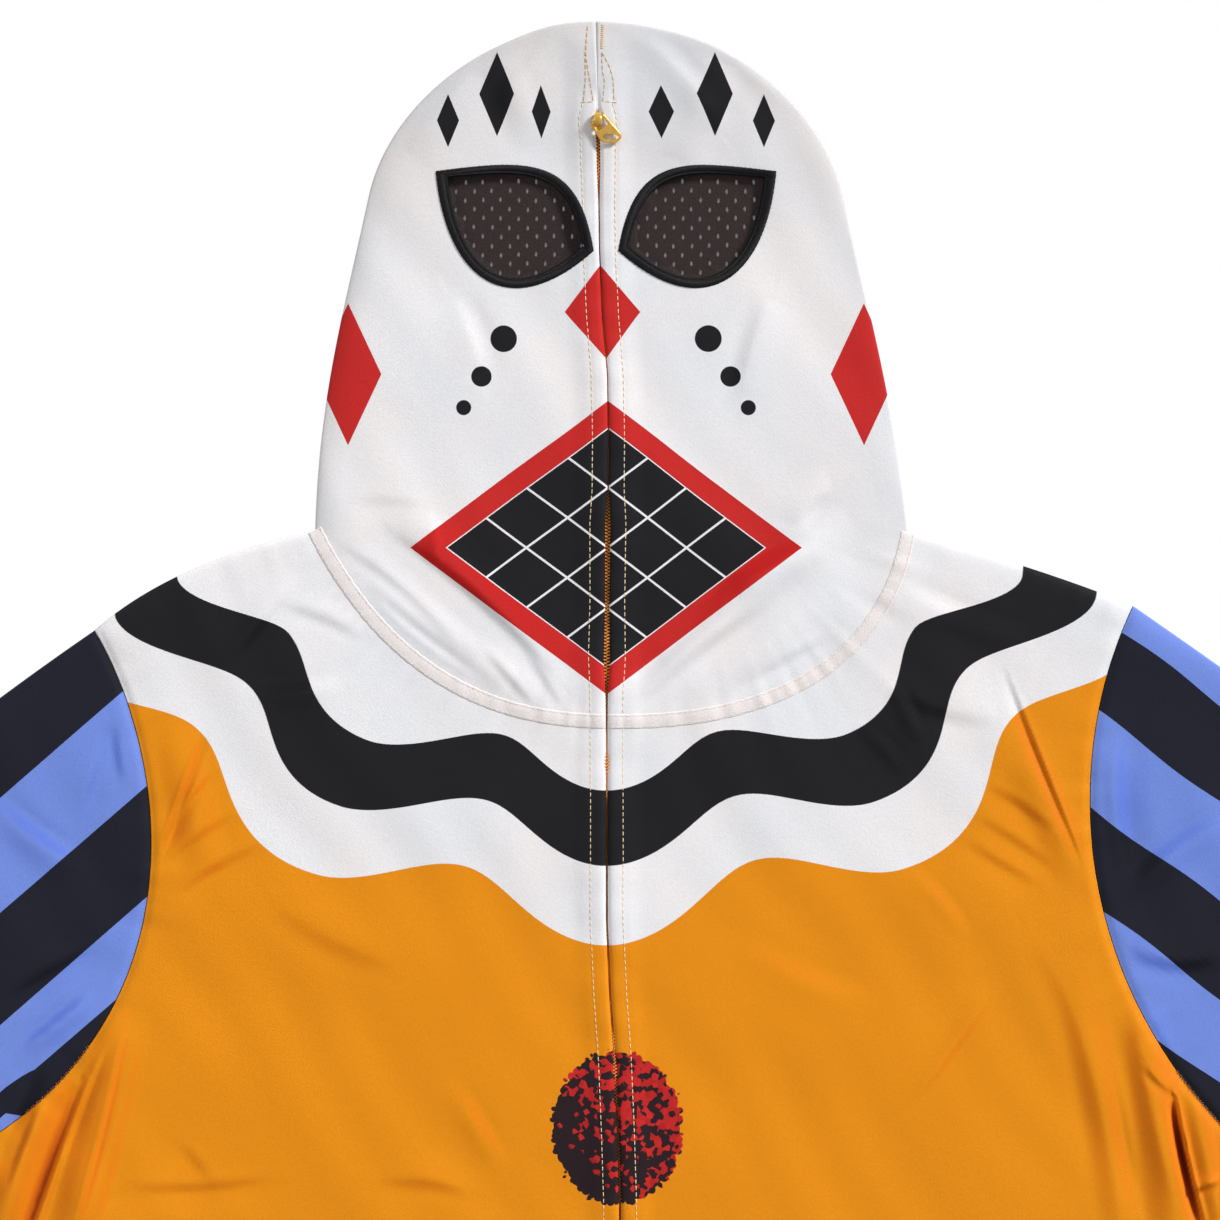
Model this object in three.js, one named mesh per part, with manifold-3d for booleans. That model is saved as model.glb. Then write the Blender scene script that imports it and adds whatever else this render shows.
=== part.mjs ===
// A zip-up costume hoodie with a full-face hood, laid flat on its back with the hood closed and spread.
// Millimetres. +X is towards the viewer's right, +Y runs from the hem to the top of the hood, +Z is up.
// In the names, left and right are the viewer's, so the wearer's right arm goes into sleeve_left.
// The origin lies under the middle of the chest line, on the surface that the garment rests on.

import * as THREE from "three";
import { mergeVertices } from "three/addons/utils/BufferGeometryUtils.js";
import Module from "manifold-3d";

const wasm = await Module();
wasm.setup();

// Cloth layers: the back layer lies flat, and the front layer lies over it.
const CLOTH = 1.2;
const SEAM_GAP = 0.35;
const EDGE_UNDER = CLOTH + 0.3;
const FLAT_UNDER = 3.2;
const EDGE_ROLL = 11;

// Garment sizes, in a men's large with a relaxed fit.
const NECK_FRONT_UP = 196;
const NECK_BACK_UP = 267;
const HOOD_TOP_UP = 511;
const HEM_UP = -430;
const HEM_HALF = 281;
const SLEEVE_LENGTH = 620;
const CUFF_WIDTH = 106;
const UNDERARM_PULL = 45;

// The zip.
const CHAIN_HALF = 2.6;
const CHAIN_TOP = 4.0;
const TAPE_INNER = 2.9;
const TAPE_OUTER = 9.0;
const TAPE_THICK = 1.0;
const ZIP_COVER_UNDER = 4.4;
const ZIP_COVER_HALF = 4;
const ZIP_COVER_FADE = 13;
const SLIDER_UP = 466;
const SLIDER_LIFT = 1.2;
const SEAM_START_UP = 477;

// The two sides lie a little differently, as a garment spread by hand does.
// Each point is [distance out from the centre line, distance up from the chest line].
const SIDES = {
  left: {
    sign: -1,
    neckPoint: [131, 282],
    neckFrontPull: [66, 196],
    neckSidePull: [106, 232],
    shoulder: [230, 237],
    shoulderBow: 6,
    armholeTopPull: [190, 167],
    armholeLowPull: [188, 54],
    armpit: [291, 0],
    underarmAngle: 14,
    sleeveAngle: 41,
    sleeveCapBend: 7,
  },
  right: {
    sign: 1,
    neckPoint: [136, 281],
    neckFrontPull: [78, 194],
    neckSidePull: [126, 224],
    shoulder: [237, 248],
    shoulderBow: 1.5,
    armholeTopPull: [205, 182],
    armholeLowPull: [206, 77],
    armpit: [291, 0],
    underarmAngle: 22,
    sleeveAngle: 36.5,
    sleeveCapBend: 2,
  },
};

// The hood's outline above the neck point: a side that leans in, then a round crown.
const HOOD_SIDE_PULLS = [[130, 340], [117, 385]];
const HOOD_TEMPLE = [107, 432];
const HOOD_CROWN_PULLS = [[98, 474], [52, HOOD_TOP_UP]];

// The zip wanders off the straight centre line. Lean is how far right, at heights up from the chest line.
const ZIP_LEAN = [
  { up: HEM_UP, lean: 3 },
  { up: -250, lean: 7 },
  { up: -20, lean: 6.3 },
  { up: 12, lean: 5.3 },
  { up: 45, lean: 3.9 },
  { up: 72, lean: 1.9 },
  { up: 106, lean: 0.4 },
  { up: 215, lean: 0.3 },
  { up: 322, lean: 1.1 },
  { up: 352, lean: 0.7 },
  { up: 378, lean: -1.6 },
  { up: 408, lean: -2.9 },
  { up: 471, lean: -3.7 },
  { up: HOOD_TOP_UP, lean: -4.7 },
];
const LEAN_HOLD = 11;
const LEAN_FADE = 36;
const GAP_FADE = 8;

// Half of the slit between the two zip edges, at heights up from the chest line.
const ZIP_SLIT = [
  { up: HEM_UP, half: 0.9 },
  { up: 60, half: 1.0 },
  { up: 130, half: 0.5 },
  { up: 170, half: 0.8 },
  { up: 196, half: 0.5 },
  { up: 210, half: 0.7 },
  { up: 224, half: 1.4 },
  { up: 250, half: 1.0 },
  { up: 285, half: 1.2 },
  { up: 306, half: 0.5 },
  { up: 428, half: 0.5 },
  { up: 452, half: 1.5 },
  { up: SEAM_START_UP, half: 1.5 },
  { up: SEAM_START_UP + 9, half: 0.3 },
  { up: HOOD_TOP_UP, half: SEAM_GAP / 2 },
];

// The largest folds of the front layer, each a soft ridge from one point to another.
const FOLDS = [
  { name: "left armpit inner", x0: -214, y0: 62, x1: -243, y1: -62, rise: 5.5, half: 13 },
  { name: "left armpit middle", x0: -233, y0: 40, x1: -262, y1: -40, rise: 6, half: 11 },
  { name: "left side", x0: -214, y0: -20, x1: -236, y1: -170, rise: 3, half: 16 },
  { name: "right armpit inner", x0: 196, y0: 84, x1: 214, y1: -60, rise: 3.5, half: 14 },
  { name: "right armpit middle", x0: 222, y0: 66, x1: 243, y1: -80, rise: 5.5, half: 12 },
  { name: "right armpit outer", x0: 251, y0: 32, x1: 268, y1: -40, rise: 7, half: 11 },
  { name: "right chest", x0: 186, y0: 182, x1: 216, y1: 120, rise: 2.5, half: 13 },
  { name: "left chest", x0: -196, y0: 196, x1: -178, y1: 128, rise: 2.5, half: 13 },
  { name: "left hood drape upper", x0: -92, y0: 292, x1: -20, y1: 222, rise: 3, half: 13 },
  { name: "left hood drape lower", x0: -108, y0: 262, x1: -38, y1: 208, rise: 2.5, half: 11 },
  { name: "right hood drape upper", x0: 108, y0: 288, x1: 24, y1: 222, rise: 3, half: 13 },
  { name: "right hood drape lower", x0: 100, y0: 252, x1: 40, y1: 206, rise: 2.5, half: 11 },
  { name: "left crown", x0: -50, y0: 495, x1: -30, y1: 455, rise: 2, half: 14 },
  { name: "right crown", x0: 52, y0: 492, x1: 34, y1: 448, rise: 2.2, half: 14 },
  { name: "left sleeve upper", x0: -330, y0: 100, x1: -450, y1: -60, rise: 3, half: 18 },
  { name: "left sleeve elbow", x0: -520, y0: -220, x1: -500, y1: -330, rise: 4.5, half: 17 },
  { name: "right sleeve upper", x0: 300, y0: 170, x1: 330, y1: 40, rise: 3.5, half: 18 },
  { name: "right sleeve elbow", x0: 540, y0: -160, x1: 520, y1: -280, rise: 4.5, half: 17 },
  { name: "lower body left", x0: -120, y0: -250, x1: -60, y1: -390, rise: 3, half: 22 },
  { name: "lower body right", x0: 150, y0: -200, x1: 110, y1: -380, rise: 3.5, half: 24 },
];

// The see-through eye windows: a leaf with a point at each end, between an upper and a lower curve.
// Each curve's two pulls are [distance along the leaf from its outer corner, distance off that line].
const EYE = {
  outerCorner: [76, 443],
  innerCorner: [6, 407.6],
  upperPulls: [[35.6, 24], [52.9, 34.7]],
  lowerPulls: [[25.9, 41.5], [60, 46.5]],
  upperHeight: 22,
  lowerHeight: 33,
  outerReach: 1.4,
  innerReach: 1.2,
};
const EYE_BORDER = 3.6;
const EYE_MESH_BORDER = 1.2;
const EYE_MESH_THICK = 1.0;
const EYE_STEPS = 12;

// The band that covers the neck seam.
const NECK_BAND_WIDTH = 6.4;
const NECK_BAND_THICK = 1.0;

// The zip's slider and pull tab.
const SLIDER = { half: 2.8, length: 9, plateUnder: 4.3, plateTop: 5.1, neckHalf: 1.9, neckLength: 3.4 };
const BAIL = { half: 1.0, outer: 2.8, inner: 1.8, top: 10.2, ceiling: 9.3 };
const PULL = {
  axisHeight: 8.2,
  barRadius: 0.6,
  swivel: 34,
  tilt: 5,
  armInner: 2.7,
  hingeHalf: 3.8,
  endHalf: 5.0,
  windowEnd: 5.2,
  length: 14.6,
  thick: 1.0,
  slotHalfWidth: 3.9,
  slotHalfLength: 1.5,
  slotCentre: 11.6,
};

// How the pieces are divided. Pieces that meet at a seam share its steps.
const NECK_STEPS = [0, 0.045, 0.1, 0.17, 0.25, 0.34, 0.43, 0.52, 0.61, 0.7, 0.79, 0.88, 0.95, 1];
const ARMHOLE_STEPS = [0, 0.05, 0.12, 0.21, 0.31, 0.41, 0.51, 0.61, 0.71, 0.81, 0.91, 1];
const BACK_NECK_STEPS = [0, 0.25, 0.5, 0.75, 1];
const SHOULDER_COLUMNS = 12;
const SHOULDER_SHARE = 0.56;
const SIDE_ROWS = 14;
const SIDE_SHARE = 0.6;
const SLEEVE_ROWS = 22;
const HOOD_ROWS = 20;
const OUTLINE_STEPS = 28;
const STRIP_STEP = 22;

const lerp = (a, b, t) => a + (b - a) * t;
const mixPoints = (p, q, t) => [lerp(p[0], q[0], t), lerp(p[1], q[1], t)];
const smooth = (t) => {
  const c = Math.min(Math.max(t, 0), 1);
  return c * c * (3 - 2 * c);
};
const range = (n) => Array.from({ length: n + 1 }, (_, i) => i / n);
const degrees = (angle) => (angle * Math.PI) / 180;
const placed = (side, p) => [side.sign * p[0], p[1]];

function cubic(p0, p1, p2, p3) {
  return (t) => {
    const w = [(1 - t) ** 3, 3 * t * (1 - t) ** 2, 3 * t * t * (1 - t), t ** 3];
    return [0, 1].map((k) => w[0] * p0[k] + w[1] * p1[k] + w[2] * p2[k] + w[3] * p3[k]);
  };
}

function quadratic(p0, p1, p2) {
  return cubic(p0, mixPoints(p0, p1, 2 / 3), mixPoints(p2, p1, 2 / 3), p2);
}

function unit(p, q) {
  const length = Math.hypot(q[0] - p[0], q[1] - p[1]);
  return [(q[0] - p[0]) / length, (q[1] - p[1]) / length];
}

// A curve moved sideways, to the left of its direction of travel where distance is positive.
function beside(curve, distance) {
  const step = 0.01;
  return (t) => {
    const [dx, dy] = unit(curve(Math.max(t - step, 0)), curve(Math.min(t + step, 1)));
    const p = curve(t);
    return [p[0] - dy * distance, p[1] + dx * distance];
  };
}

// A value read from a table of rows by height, going straight from one row to the next.
function fromTable(rows, column, up) {
  const above = rows.findIndex((row) => row.up >= up);
  if (above === 0) return rows[0][column];
  if (above < 0) return rows.at(-1)[column];
  const [low, high] = [rows[above - 1], rows[above]];
  return lerp(low[column], high[column], (up - low.up) / (high.up - low.up));
}

const slitHalf = (up) => fromTable(ZIP_SLIT, "half", up);
const zipLean = (up) => fromTable(ZIP_LEAN, "lean", up);

// A point of the cloth near the zip moves aside with it, and one farther out stays.
function leaned([x, y, z]) {
  return [x + zipLean(y) * (1 - smooth((Math.abs(x) - LEAN_HOLD) / LEAN_FADE)), y, z];
}

// The seam and edge lines of one side, each a curve over 0 to 1.
function linesOf(side) {
  const at = (p) => placed(side, p);
  const neckPoint = at(side.neckPoint);
  const neckFront = cubic([0, NECK_FRONT_UP], at(side.neckFrontPull), at(side.neckSidePull), neckPoint);
  const neckBack = quadratic([0, NECK_BACK_UP], [neckPoint[0] * 0.62, NECK_BACK_UP], neckPoint);
  const shoulderMiddle = mixPoints(side.neckPoint, side.shoulder, 0.6);
  const shoulder = quadratic(
    neckPoint,
    at([shoulderMiddle[0] + side.shoulderBow, shoulderMiddle[1] + 2 * side.shoulderBow]),
    at(side.shoulder),
  );
  const pulls = [side.armholeTopPull, side.armholeLowPull].map(at);
  const armhole = cubic(at(side.shoulder), ...pulls, at(side.armpit));
  const sideSeam = quadratic([side.sign * HEM_HALF, HEM_UP + 2], at([279, -200]), at(side.armpit));
  const hem = quadratic([0, HEM_UP], at([HEM_HALF / 2, HEM_UP]), at([HEM_HALF, HEM_UP + 2]));

  const angle = degrees(side.sleeveAngle);
  const capAngle = degrees(side.sleeveAngle - side.sleeveCapBend);
  const along = [Math.cos(angle), -Math.sin(angle)];
  const across = [-Math.sin(angle), -Math.cos(angle)];
  const cuffTop = [0, 1].map((k) => side.shoulder[k] + along[k] * SLEEVE_LENGTH);
  const cuffLow = [0, 1].map((k) => cuffTop[k] + across[k] * CUFF_WIDTH);
  const capReach = SLEEVE_LENGTH * 0.3;
  const cap = [
    side.shoulder[0] + Math.cos(capAngle) * capReach,
    side.shoulder[1] - Math.sin(capAngle) * capReach,
  ];
  const sleeveTop = quadratic(at(side.shoulder), at(cap), at(cuffTop));
  const underarmAngle = degrees(side.underarmAngle);
  const underarm = [
    side.armpit[0] + Math.cos(underarmAngle) * UNDERARM_PULL,
    side.armpit[1] - Math.sin(underarmAngle) * UNDERARM_PULL,
  ];
  const forearm = mixPoints(side.armpit, cuffLow, 0.5);
  const sleeveLow = cubic(at(side.armpit), at(underarm), at(forearm), at(cuffLow));
  const cuff = (t) => mixPoints(at(cuffTop), at(cuffLow), t);

  const sideShare = 0.58;
  const hoodSide = cubic(neckPoint, ...HOOD_SIDE_PULLS.map(at), at(HOOD_TEMPLE));
  const hoodCrown = cubic(at(HOOD_TEMPLE), ...HOOD_CROWN_PULLS.map(at), [0, HOOD_TOP_UP]);
  const hoodOutline = (t) =>
    t < sideShare ? hoodSide(t / sideShare) : hoodCrown((t - sideShare) / (1 - sideShare));
  return { neckFront, neckBack, shoulder, armhole, sideSeam, hem, sleeveTop, sleeveLow, cuff, hoodOutline };
}

const LINES = { left: linesOf(SIDES.left), right: linesOf(SIDES.right) };

// Every edge of the garment as laid, for the distance from a point to the nearest edge.
function edgeSegments({ hem, sideSeam, sleeveLow, cuff, sleeveTop, shoulder, hoodOutline }) {
  return [hem, sideSeam, sleeveLow, cuff, sleeveTop, shoulder, hoodOutline].flatMap((edge) => {
    const points = range(OUTLINE_STEPS).map(edge);
    return points.slice(1).map((q, i) => [points[i], q]);
  });
}

const EDGES = [...edgeSegments(LINES.left), ...edgeSegments(LINES.right)];

function segmentDistance(x, y, [p, q]) {
  const dx = q[0] - p[0];
  const dy = q[1] - p[1];
  const share = ((x - p[0]) * dx + (y - p[1]) * dy) / (dx * dx + dy * dy);
  const t = Math.min(Math.max(share, 0), 1);
  return Math.hypot(x - p[0] - t * dx, y - p[1] - t * dy);
}

function edgeDistance(x, y) {
  return EDGES.reduce((least, segment) => Math.min(least, segmentDistance(x, y, segment)), Infinity);
}

// A soft ridge, highest in its middle and fading out towards both ends.
function foldRise(fold, x, y) {
  const dx = fold.x1 - fold.x0;
  const dy = fold.y1 - fold.y0;
  const length = Math.hypot(dx, dy);
  const along = ((x - fold.x0) * dx + (y - fold.y0) * dy) / (length * length);
  const off = Math.abs((x - fold.x0) * dy - (y - fold.y0) * dx) / length;
  if (along <= 0 || along >= 1 || off >= fold.half) return 0;
  const crest = Math.cos((off / fold.half) * (Math.PI / 2)) ** 2;
  return fold.rise * crest * Math.sin(along * Math.PI) ** 0.8;
}

// How high the front layer's underside lies over the surface, at a point of the garment.
function frontUnder(x, y) {
  const roll = Math.sqrt(1 - (1 - Math.min(edgeDistance(x, y) / EDGE_ROLL, 1)) ** 2);
  const flat = EDGE_UNDER + (FLAT_UNDER - EDGE_UNDER) * roll;
  const folds = FOLDS.reduce((sum, fold) => sum + foldRise(fold, x, y), 0) * roll;
  const overZip = 1 - smooth((Math.abs(x) - ZIP_COVER_HALF) / ZIP_COVER_FADE);
  const nearTop = smooth((HOOD_TOP_UP - 4 - y) / 22);
  const overSlider = SLIDER_LIFT * (1 - smooth((Math.abs(y - SLIDER_UP) - 4) / 14)) * overZip;
  return flat + folds + (ZIP_COVER_UNDER - flat) * overZip * nearTop + overSlider;
}

// A patch between four edge curves. s runs from low to high along bottom and top, t along left and right.
function patch(bottom, top, left, right) {
  const low = (s) => mixPoints(bottom(0), bottom(1), s);
  const high = (s) => mixPoints(top(0), top(1), s);
  return (s, t) => {
    const across = mixPoints(left(t), right(t), s);
    const up = mixPoints(bottom(s), top(s), t);
    const corners = mixPoints(low(s), high(s), t);
    return [0, 1].map((k) => across[k] + up[k] - corners[k]);
  };
}

function geometryOf(vertices, triangles) {
  const geometry = new THREE.BufferGeometry();
  geometry.setAttribute("position", new THREE.Float32BufferAttribute(vertices.flat(), 3));
  geometry.setIndex(triangles.flat());
  geometry.computeVertexNormals();
  return geometry;
}

// The volume's sign says whether the faces of a closed mesh point out, and turns them if they don't.
function facingOut(vertices, triangles) {
  const volume = triangles.reduce((sum, [a, b, c]) => {
    const [p, q, r] = [vertices[a], vertices[b], vertices[c]];
    const cross = [q[1] * r[2] - q[2] * r[1], q[2] * r[0] - q[0] * r[2], q[0] * r[1] - q[1] * r[0]];
    return sum + p[0] * cross[0] + p[1] * cross[1] + p[2] * cross[2];
  }, 0);
  return volume > 0 ? triangles : triangles.map(([a, b, c]) => [a, c, b]);
}

// A wall of cloth from two grids of points, outer and inner. Where closed is true the rows are rings.
function wall(outer, inner, closed = false) {
  const rows = outer.length;
  const lastRow = rows - 1;
  const columns = outer[0].length;
  const vertices = [...outer.flat(), ...inner.flat()].map(leaned);
  const triangles = [];
  const layer = rows * columns;
  const index = (i, j, side) => side * layer + i * columns + (j % columns);
  const quad = (a, b, c, d) => triangles.push([a, b, c], [a, c, d]);
  const across = closed ? columns : columns - 1;
  for (let i = 0; i < rows - 1; i += 1) {
    for (let j = 0; j < across; j += 1) {
      quad(index(i, j, 0), index(i, j + 1, 0), index(i + 1, j + 1, 0), index(i + 1, j, 0));
      quad(index(i, j, 1), index(i + 1, j, 1), index(i + 1, j + 1, 1), index(i, j + 1, 1));
    }
  }
  for (let j = 0; j < across; j += 1) {
    quad(index(0, j, 0), index(0, j, 1), index(0, j + 1, 1), index(0, j + 1, 0));
    quad(index(lastRow, j, 0), index(lastRow, j + 1, 0), index(lastRow, j + 1, 1), index(lastRow, j, 1));
  }
  for (let i = 0; !closed && i < rows - 1; i += 1) {
    const last = columns - 1;
    quad(index(i, 0, 0), index(i + 1, 0, 0), index(i + 1, 0, 1), index(i, 0, 1));
    quad(index(i, last, 0), index(i, last, 1), index(i + 1, last, 1), index(i + 1, last, 0));
  }
  return geometryOf(vertices, facingOut(vertices, triangles));
}

const topOf = ([x, y]) => [x, y, frontUnder(x, y) + CLOTH];
const underOf = ([x, y]) => [x, y, frontUnder(x, y)];

// The front body panel: hem, side seam and armhole, neckline and shoulder, and the zip edge.
function frontPanel(side, lines) {
  const neckShare = 1 - SHOULDER_SHARE;
  const top = (s) =>
    s < neckShare ? lines.neckFront(s / neckShare) : lines.shoulder((s - neckShare) / SHOULDER_SHARE);
  const outside = (t) =>
    t < SIDE_SHARE ? lines.sideSeam(t / SIDE_SHARE) : lines.armhole((1 - t) / (1 - SIDE_SHARE));
  const zipEdge = (t) => [0, lerp(HEM_UP, NECK_FRONT_UP, t)];
  const surface = patch(lines.hem, top, zipEdge, outside);
  const columns = [
    ...NECK_STEPS.map((s) => s * neckShare),
    ...range(SHOULDER_COLUMNS).slice(1).map((s) => neckShare + s * SHOULDER_SHARE),
  ];
  const rows = [
    ...range(SIDE_ROWS).map((t) => SIDE_SHARE * t ** 0.75),
    ...ARMHOLE_STEPS.toReversed().slice(1).map((t) => SIDE_SHARE + (1 - t) * (1 - SIDE_SHARE)),
  ];
  const grid = rows.map((t) => columns.map((s) => keptFromZip(side, surface(s, t))));
  return wall(grid.map((row) => row.map(topOf)), grid.map((row) => row.map(underOf)));
}

// A point of one side pushed out from the centre line, less the farther out it is, to open a gap there.
function pushedOut(side, [x, y], gap) {
  return [x + side.sign * gap * Math.exp(-Math.abs(x) / GAP_FADE), y];
}

const keptFromZip = (side, p) => pushedOut(side, p, slitHalf(p[1]));

// One side's points of a flat outline, from the centre of the hem round to the centre of the back neck.
function backOutline(lines) {
  return [
    ...range(6).map(lines.hem),
    ...range(8).slice(1).map(lines.sideSeam),
    ...ARMHOLE_STEPS.toReversed().slice(1).map(lines.armhole),
    ...range(6).slice(1).map((t) => lines.shoulder(1 - t)),
    ...BACK_NECK_STEPS.toReversed().slice(1).map(lines.neckBack),
  ];
}

function backPanel() {
  const right = backOutline(LINES.right);
  const left = backOutline(LINES.left).toReversed().slice(1, -1);
  return prism([...right, ...left].map((p) => leaned([...p, 0])), 0, CLOTH);
}

// The turn at a folded edge: how far in from the edge each face of the wall begins, and its middle height.
const TURN = { outer: 0.7, innerFold: 1.5, inner: 2.2, middle: (CLOTH + EDGE_UNDER) / 2 };

function movedIn(edge, towards, distance) {
  const [dx, dy] = unit(edge, towards);
  return [edge[0] + dx * distance, edge[1] + dy * distance];
}

// A sleeve: a flat tube from the armhole to the cuff, folded along its top and seamed along its low edge.
function sleeve(lines) {
  const start = beside(lines.armhole, lines.armhole(0)[0] > 0 ? SEAM_GAP : -SEAM_GAP);
  const top = (u) => mixPoints(lines.sleeveTop(u), start(0), (1 - u) ** 20);
  const low = (u) => mixPoints(lines.sleeveLow(u), start(1), (1 - u) ** 20);
  const surface = patch(top, low, start, lines.cuff);
  const ring = (u, turned, frontHeight, backHeight, foldIn) => {
    const clipped = (v) => {
      const p = surface(u, v);
      if (v === 0) return movedIn(p, surface(u, 0.1), turned);
      if (v === 1) return movedIn(p, surface(u, 0.9), turned);
      return p;
    };
    const front = ARMHOLE_STEPS.map(clipped).map(([x, y]) => [x, y, frontUnder(x, y) + frontHeight]);
    const back = ARMHOLE_STEPS.toReversed().map(clipped).map(([x, y]) => [x, y, backHeight]);
    const lowTurn = [...movedIn(surface(u, 1), surface(u, 0.9), foldIn), TURN.middle];
    const topTurn = [...movedIn(surface(u, 0), surface(u, 0.1), foldIn), TURN.middle];
    return [...front, lowTurn, ...back, topTurn];
  };
  const rows = range(SLEEVE_ROWS);
  const outer = rows.map((u) => ring(u, TURN.outer, CLOTH, 0, 0));
  const inner = rows.map((u) => ring(u, TURN.inner, 0, CLOTH, TURN.innerFold));
  return wall(outer, inner, true);
}

// The eye leaf as a list of points, with its border grown, or shrunk where grow is negative.
function eyeLeaf(side, grow) {
  const [dx, dy] = unit(EYE.outerCorner, EYE.innerCorner);
  const length = Math.hypot(...[0, 1].map((k) => EYE.innerCorner[k] - EYE.outerCorner[k]));
  const first = -EYE.outerReach * grow;
  const last = length + EYE.innerReach * grow;
  const half = (pulls, height, sign) => {
    const stretched = pulls.map(([along, off]) => [
      lerp(first, last, along / length),
      (sign * off * (height + grow)) / height,
    ]);
    return range(EYE_STEPS).map(cubic([first, 0], ...stretched, [last, 0]));
  };
  const upper = half(EYE.upperPulls, EYE.upperHeight, 1);
  const lower = half(EYE.lowerPulls, EYE.lowerHeight, -1).toReversed();
  return [...upper.slice(1), ...lower.slice(1)].map(([along, off]) =>
    placed(side, [
      EYE.outerCorner[0] + dx * along + dy * off,
      EYE.outerCorner[1] + dy * along - dx * off,
    ]),
  );
}

function prism(points, low, high) {
  const shape = new THREE.Shape(points.map(([x, y]) => new THREE.Vector2(x, y)));
  return new THREE.ExtrudeGeometry(shape, { depth: high - low, bevelEnabled: false }).translate(0, 0, low);
}

function box(x0, x1, y0, y1, z0, z1) {
  const solid = new THREE.BoxGeometry(x1 - x0, y1 - y0, z1 - z0);
  return solid.translate((x0 + x1) / 2, (y0 + y1) / 2, (z0 + z1) / 2);
}

// A long bar along the zip that follows its lean.
function strip(x0, x1, y0, y1, z0, z1) {
  const steps = range(Math.floor((y1 - HEM_UP) / STRIP_STEP)).map((t, i) => HEM_UP + i * STRIP_STEP);
  const heights = [y0, ...steps.filter((y) => y > y0 && y < y1), y1];
  const layer = (z) => heights.map((y) => [[x0, y, z], [x1, y, z]]);
  return wall(layer(z1), layer(z0));
}

function solidOf(geometry) {
  const bare = geometry.clone();
  bare.deleteAttribute("normal");
  bare.deleteAttribute("uv");
  const merged = mergeVertices(bare, 1e-4);
  return new wasm.Manifold(
    new wasm.Mesh({
      numProp: 3,
      vertProperties: new Float32Array(merged.attributes.position.array),
      triVerts: new Uint32Array(merged.index.array),
    }),
  );
}

function geometryFrom(solid) {
  const mesh = solid.getMesh();
  const geometry = new THREE.BufferGeometry();
  geometry.setAttribute("position", new THREE.Float32BufferAttribute(mesh.vertProperties, 3));
  geometry.setIndex([...mesh.triVerts]);
  geometry.computeVertexNormals();
  return geometry;
}

// Half of the hood: from the zip out over the face, round the side fold, and back under to the back seam.
function hoodHalf(side, lines) {
  const neckFront = beside(lines.neckFront, side.sign * SEAM_GAP);
  const neckBack = (s) => [lines.neckBack(s)[0], lines.neckBack(s)[1] + SEAM_GAP];
  const outlineStart = [lines.hoodOutline(0)[0], lines.hoodOutline(0)[1] + SEAM_GAP];
  const outline = (t) => mixPoints(lines.hoodOutline(t), outlineStart, (1 - t) ** 20);
  const crownSeam = (s) => [0, lerp(SEAM_START_UP, HOOD_TOP_UP, s)];
  const toOutline = (curve) => (s) => mixPoints(curve(s), outlineStart, s ** 20);
  const centreFrom = (start) => (t) => [0, lerp(start[1], SEAM_START_UP, t)];
  const face = patch(toOutline(neckFront), crownSeam, centreFrom(neckFront(0)), outline);
  const behind = patch(toOutline(neckBack), crownSeam, centreFrom(neckBack(0)), outline);
  const clearOfSeam = (p) => pushedOut(side, p, SEAM_GAP / 2);
  const path = (t, turned, frontHeight, backHeight, foldIn) => {
    const edge = outline(t);
    const front = NECK_STEPS.map((s) => (s === 1 ? movedIn(edge, face(0.9, t), turned) : face(s, t)))
      .map((p) => keptFromZip(side, p))
      .map(([x, y]) => [x, y, frontUnder(x, y) + frontHeight]);
    const back = BACK_NECK_STEPS.toReversed()
      .map((s) => (s === 1 ? movedIn(edge, behind(0.9, t), turned) : behind(s, t)))
      .map((p) => [...clearOfSeam(p), backHeight]);
    const inward = mixPoints(face(0.9, t), behind(0.9, t), 0.5);
    const turn = [...clearOfSeam(movedIn(edge, inward, foldIn)), TURN.middle];
    return [...front, turn, ...back];
  };
  const rows = range(HOOD_ROWS);
  const outer = rows.map((t) => path(t, TURN.outer, CLOTH, 0, 0));
  const inner = rows.map((t) => path(t, TURN.inner, 0, CLOTH, TURN.innerFold));
  const window = prism(eyeLeaf(side, -EYE_BORDER), TURN.middle, 30);
  return geometryFrom(solidOf(wall(outer, inner)).subtract(solidOf(window)));
}

// The mesh behind an eye window: a thin leaf, trimmed clear of the zip tape.
function eyeMesh(side) {
  const leaf = prism(eyeLeaf(side, -EYE_MESH_BORDER), EDGE_UNDER, EDGE_UNDER + EYE_MESH_THICK);
  const clear = TAPE_OUTER + SEAM_GAP;
  const trim = strip(-clear, clear, NECK_FRONT_UP, HOOD_TOP_UP, 0, 10);
  return geometryFrom(solidOf(leaf).subtract(solidOf(trim)));
}

// The band over the neck seam, made from the front panel's own neckline points, moved out.
function neckBand(side, lines) {
  const clear = (p) => keptFromZip(side, p);
  const inner = NECK_STEPS.map(lines.neckFront).map(clear);
  const outer = NECK_STEPS.map(beside(lines.neckFront, -side.sign * NECK_BAND_WIDTH)).map(clear);
  const lift = CLOTH + SEAM_GAP;
  const row = (height) => ([x, y]) => [x, y, frontUnder(x, y) + height];
  const lower = [inner.map(row(lift)), outer.map(row(lift))];
  const upper = [inner.map(row(lift + NECK_BAND_THICK)), outer.map(row(lift + NECK_BAND_THICK))];
  return wall(upper, lower);
}

function zipTape(side) {
  const [a, b] = [side.sign * TAPE_INNER, side.sign * TAPE_OUTER].sort((p, q) => p - q);
  return strip(a, b, HEM_UP + 2, SLIDER_UP + 8, EDGE_UNDER, EDGE_UNDER + TAPE_THICK);
}

function zipChain() {
  return strip(-CHAIN_HALF, CHAIN_HALF, HEM_UP + 2, SLIDER_UP - SLIDER.neckLength, EDGE_UNDER, CHAIN_TOP);
}

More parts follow.
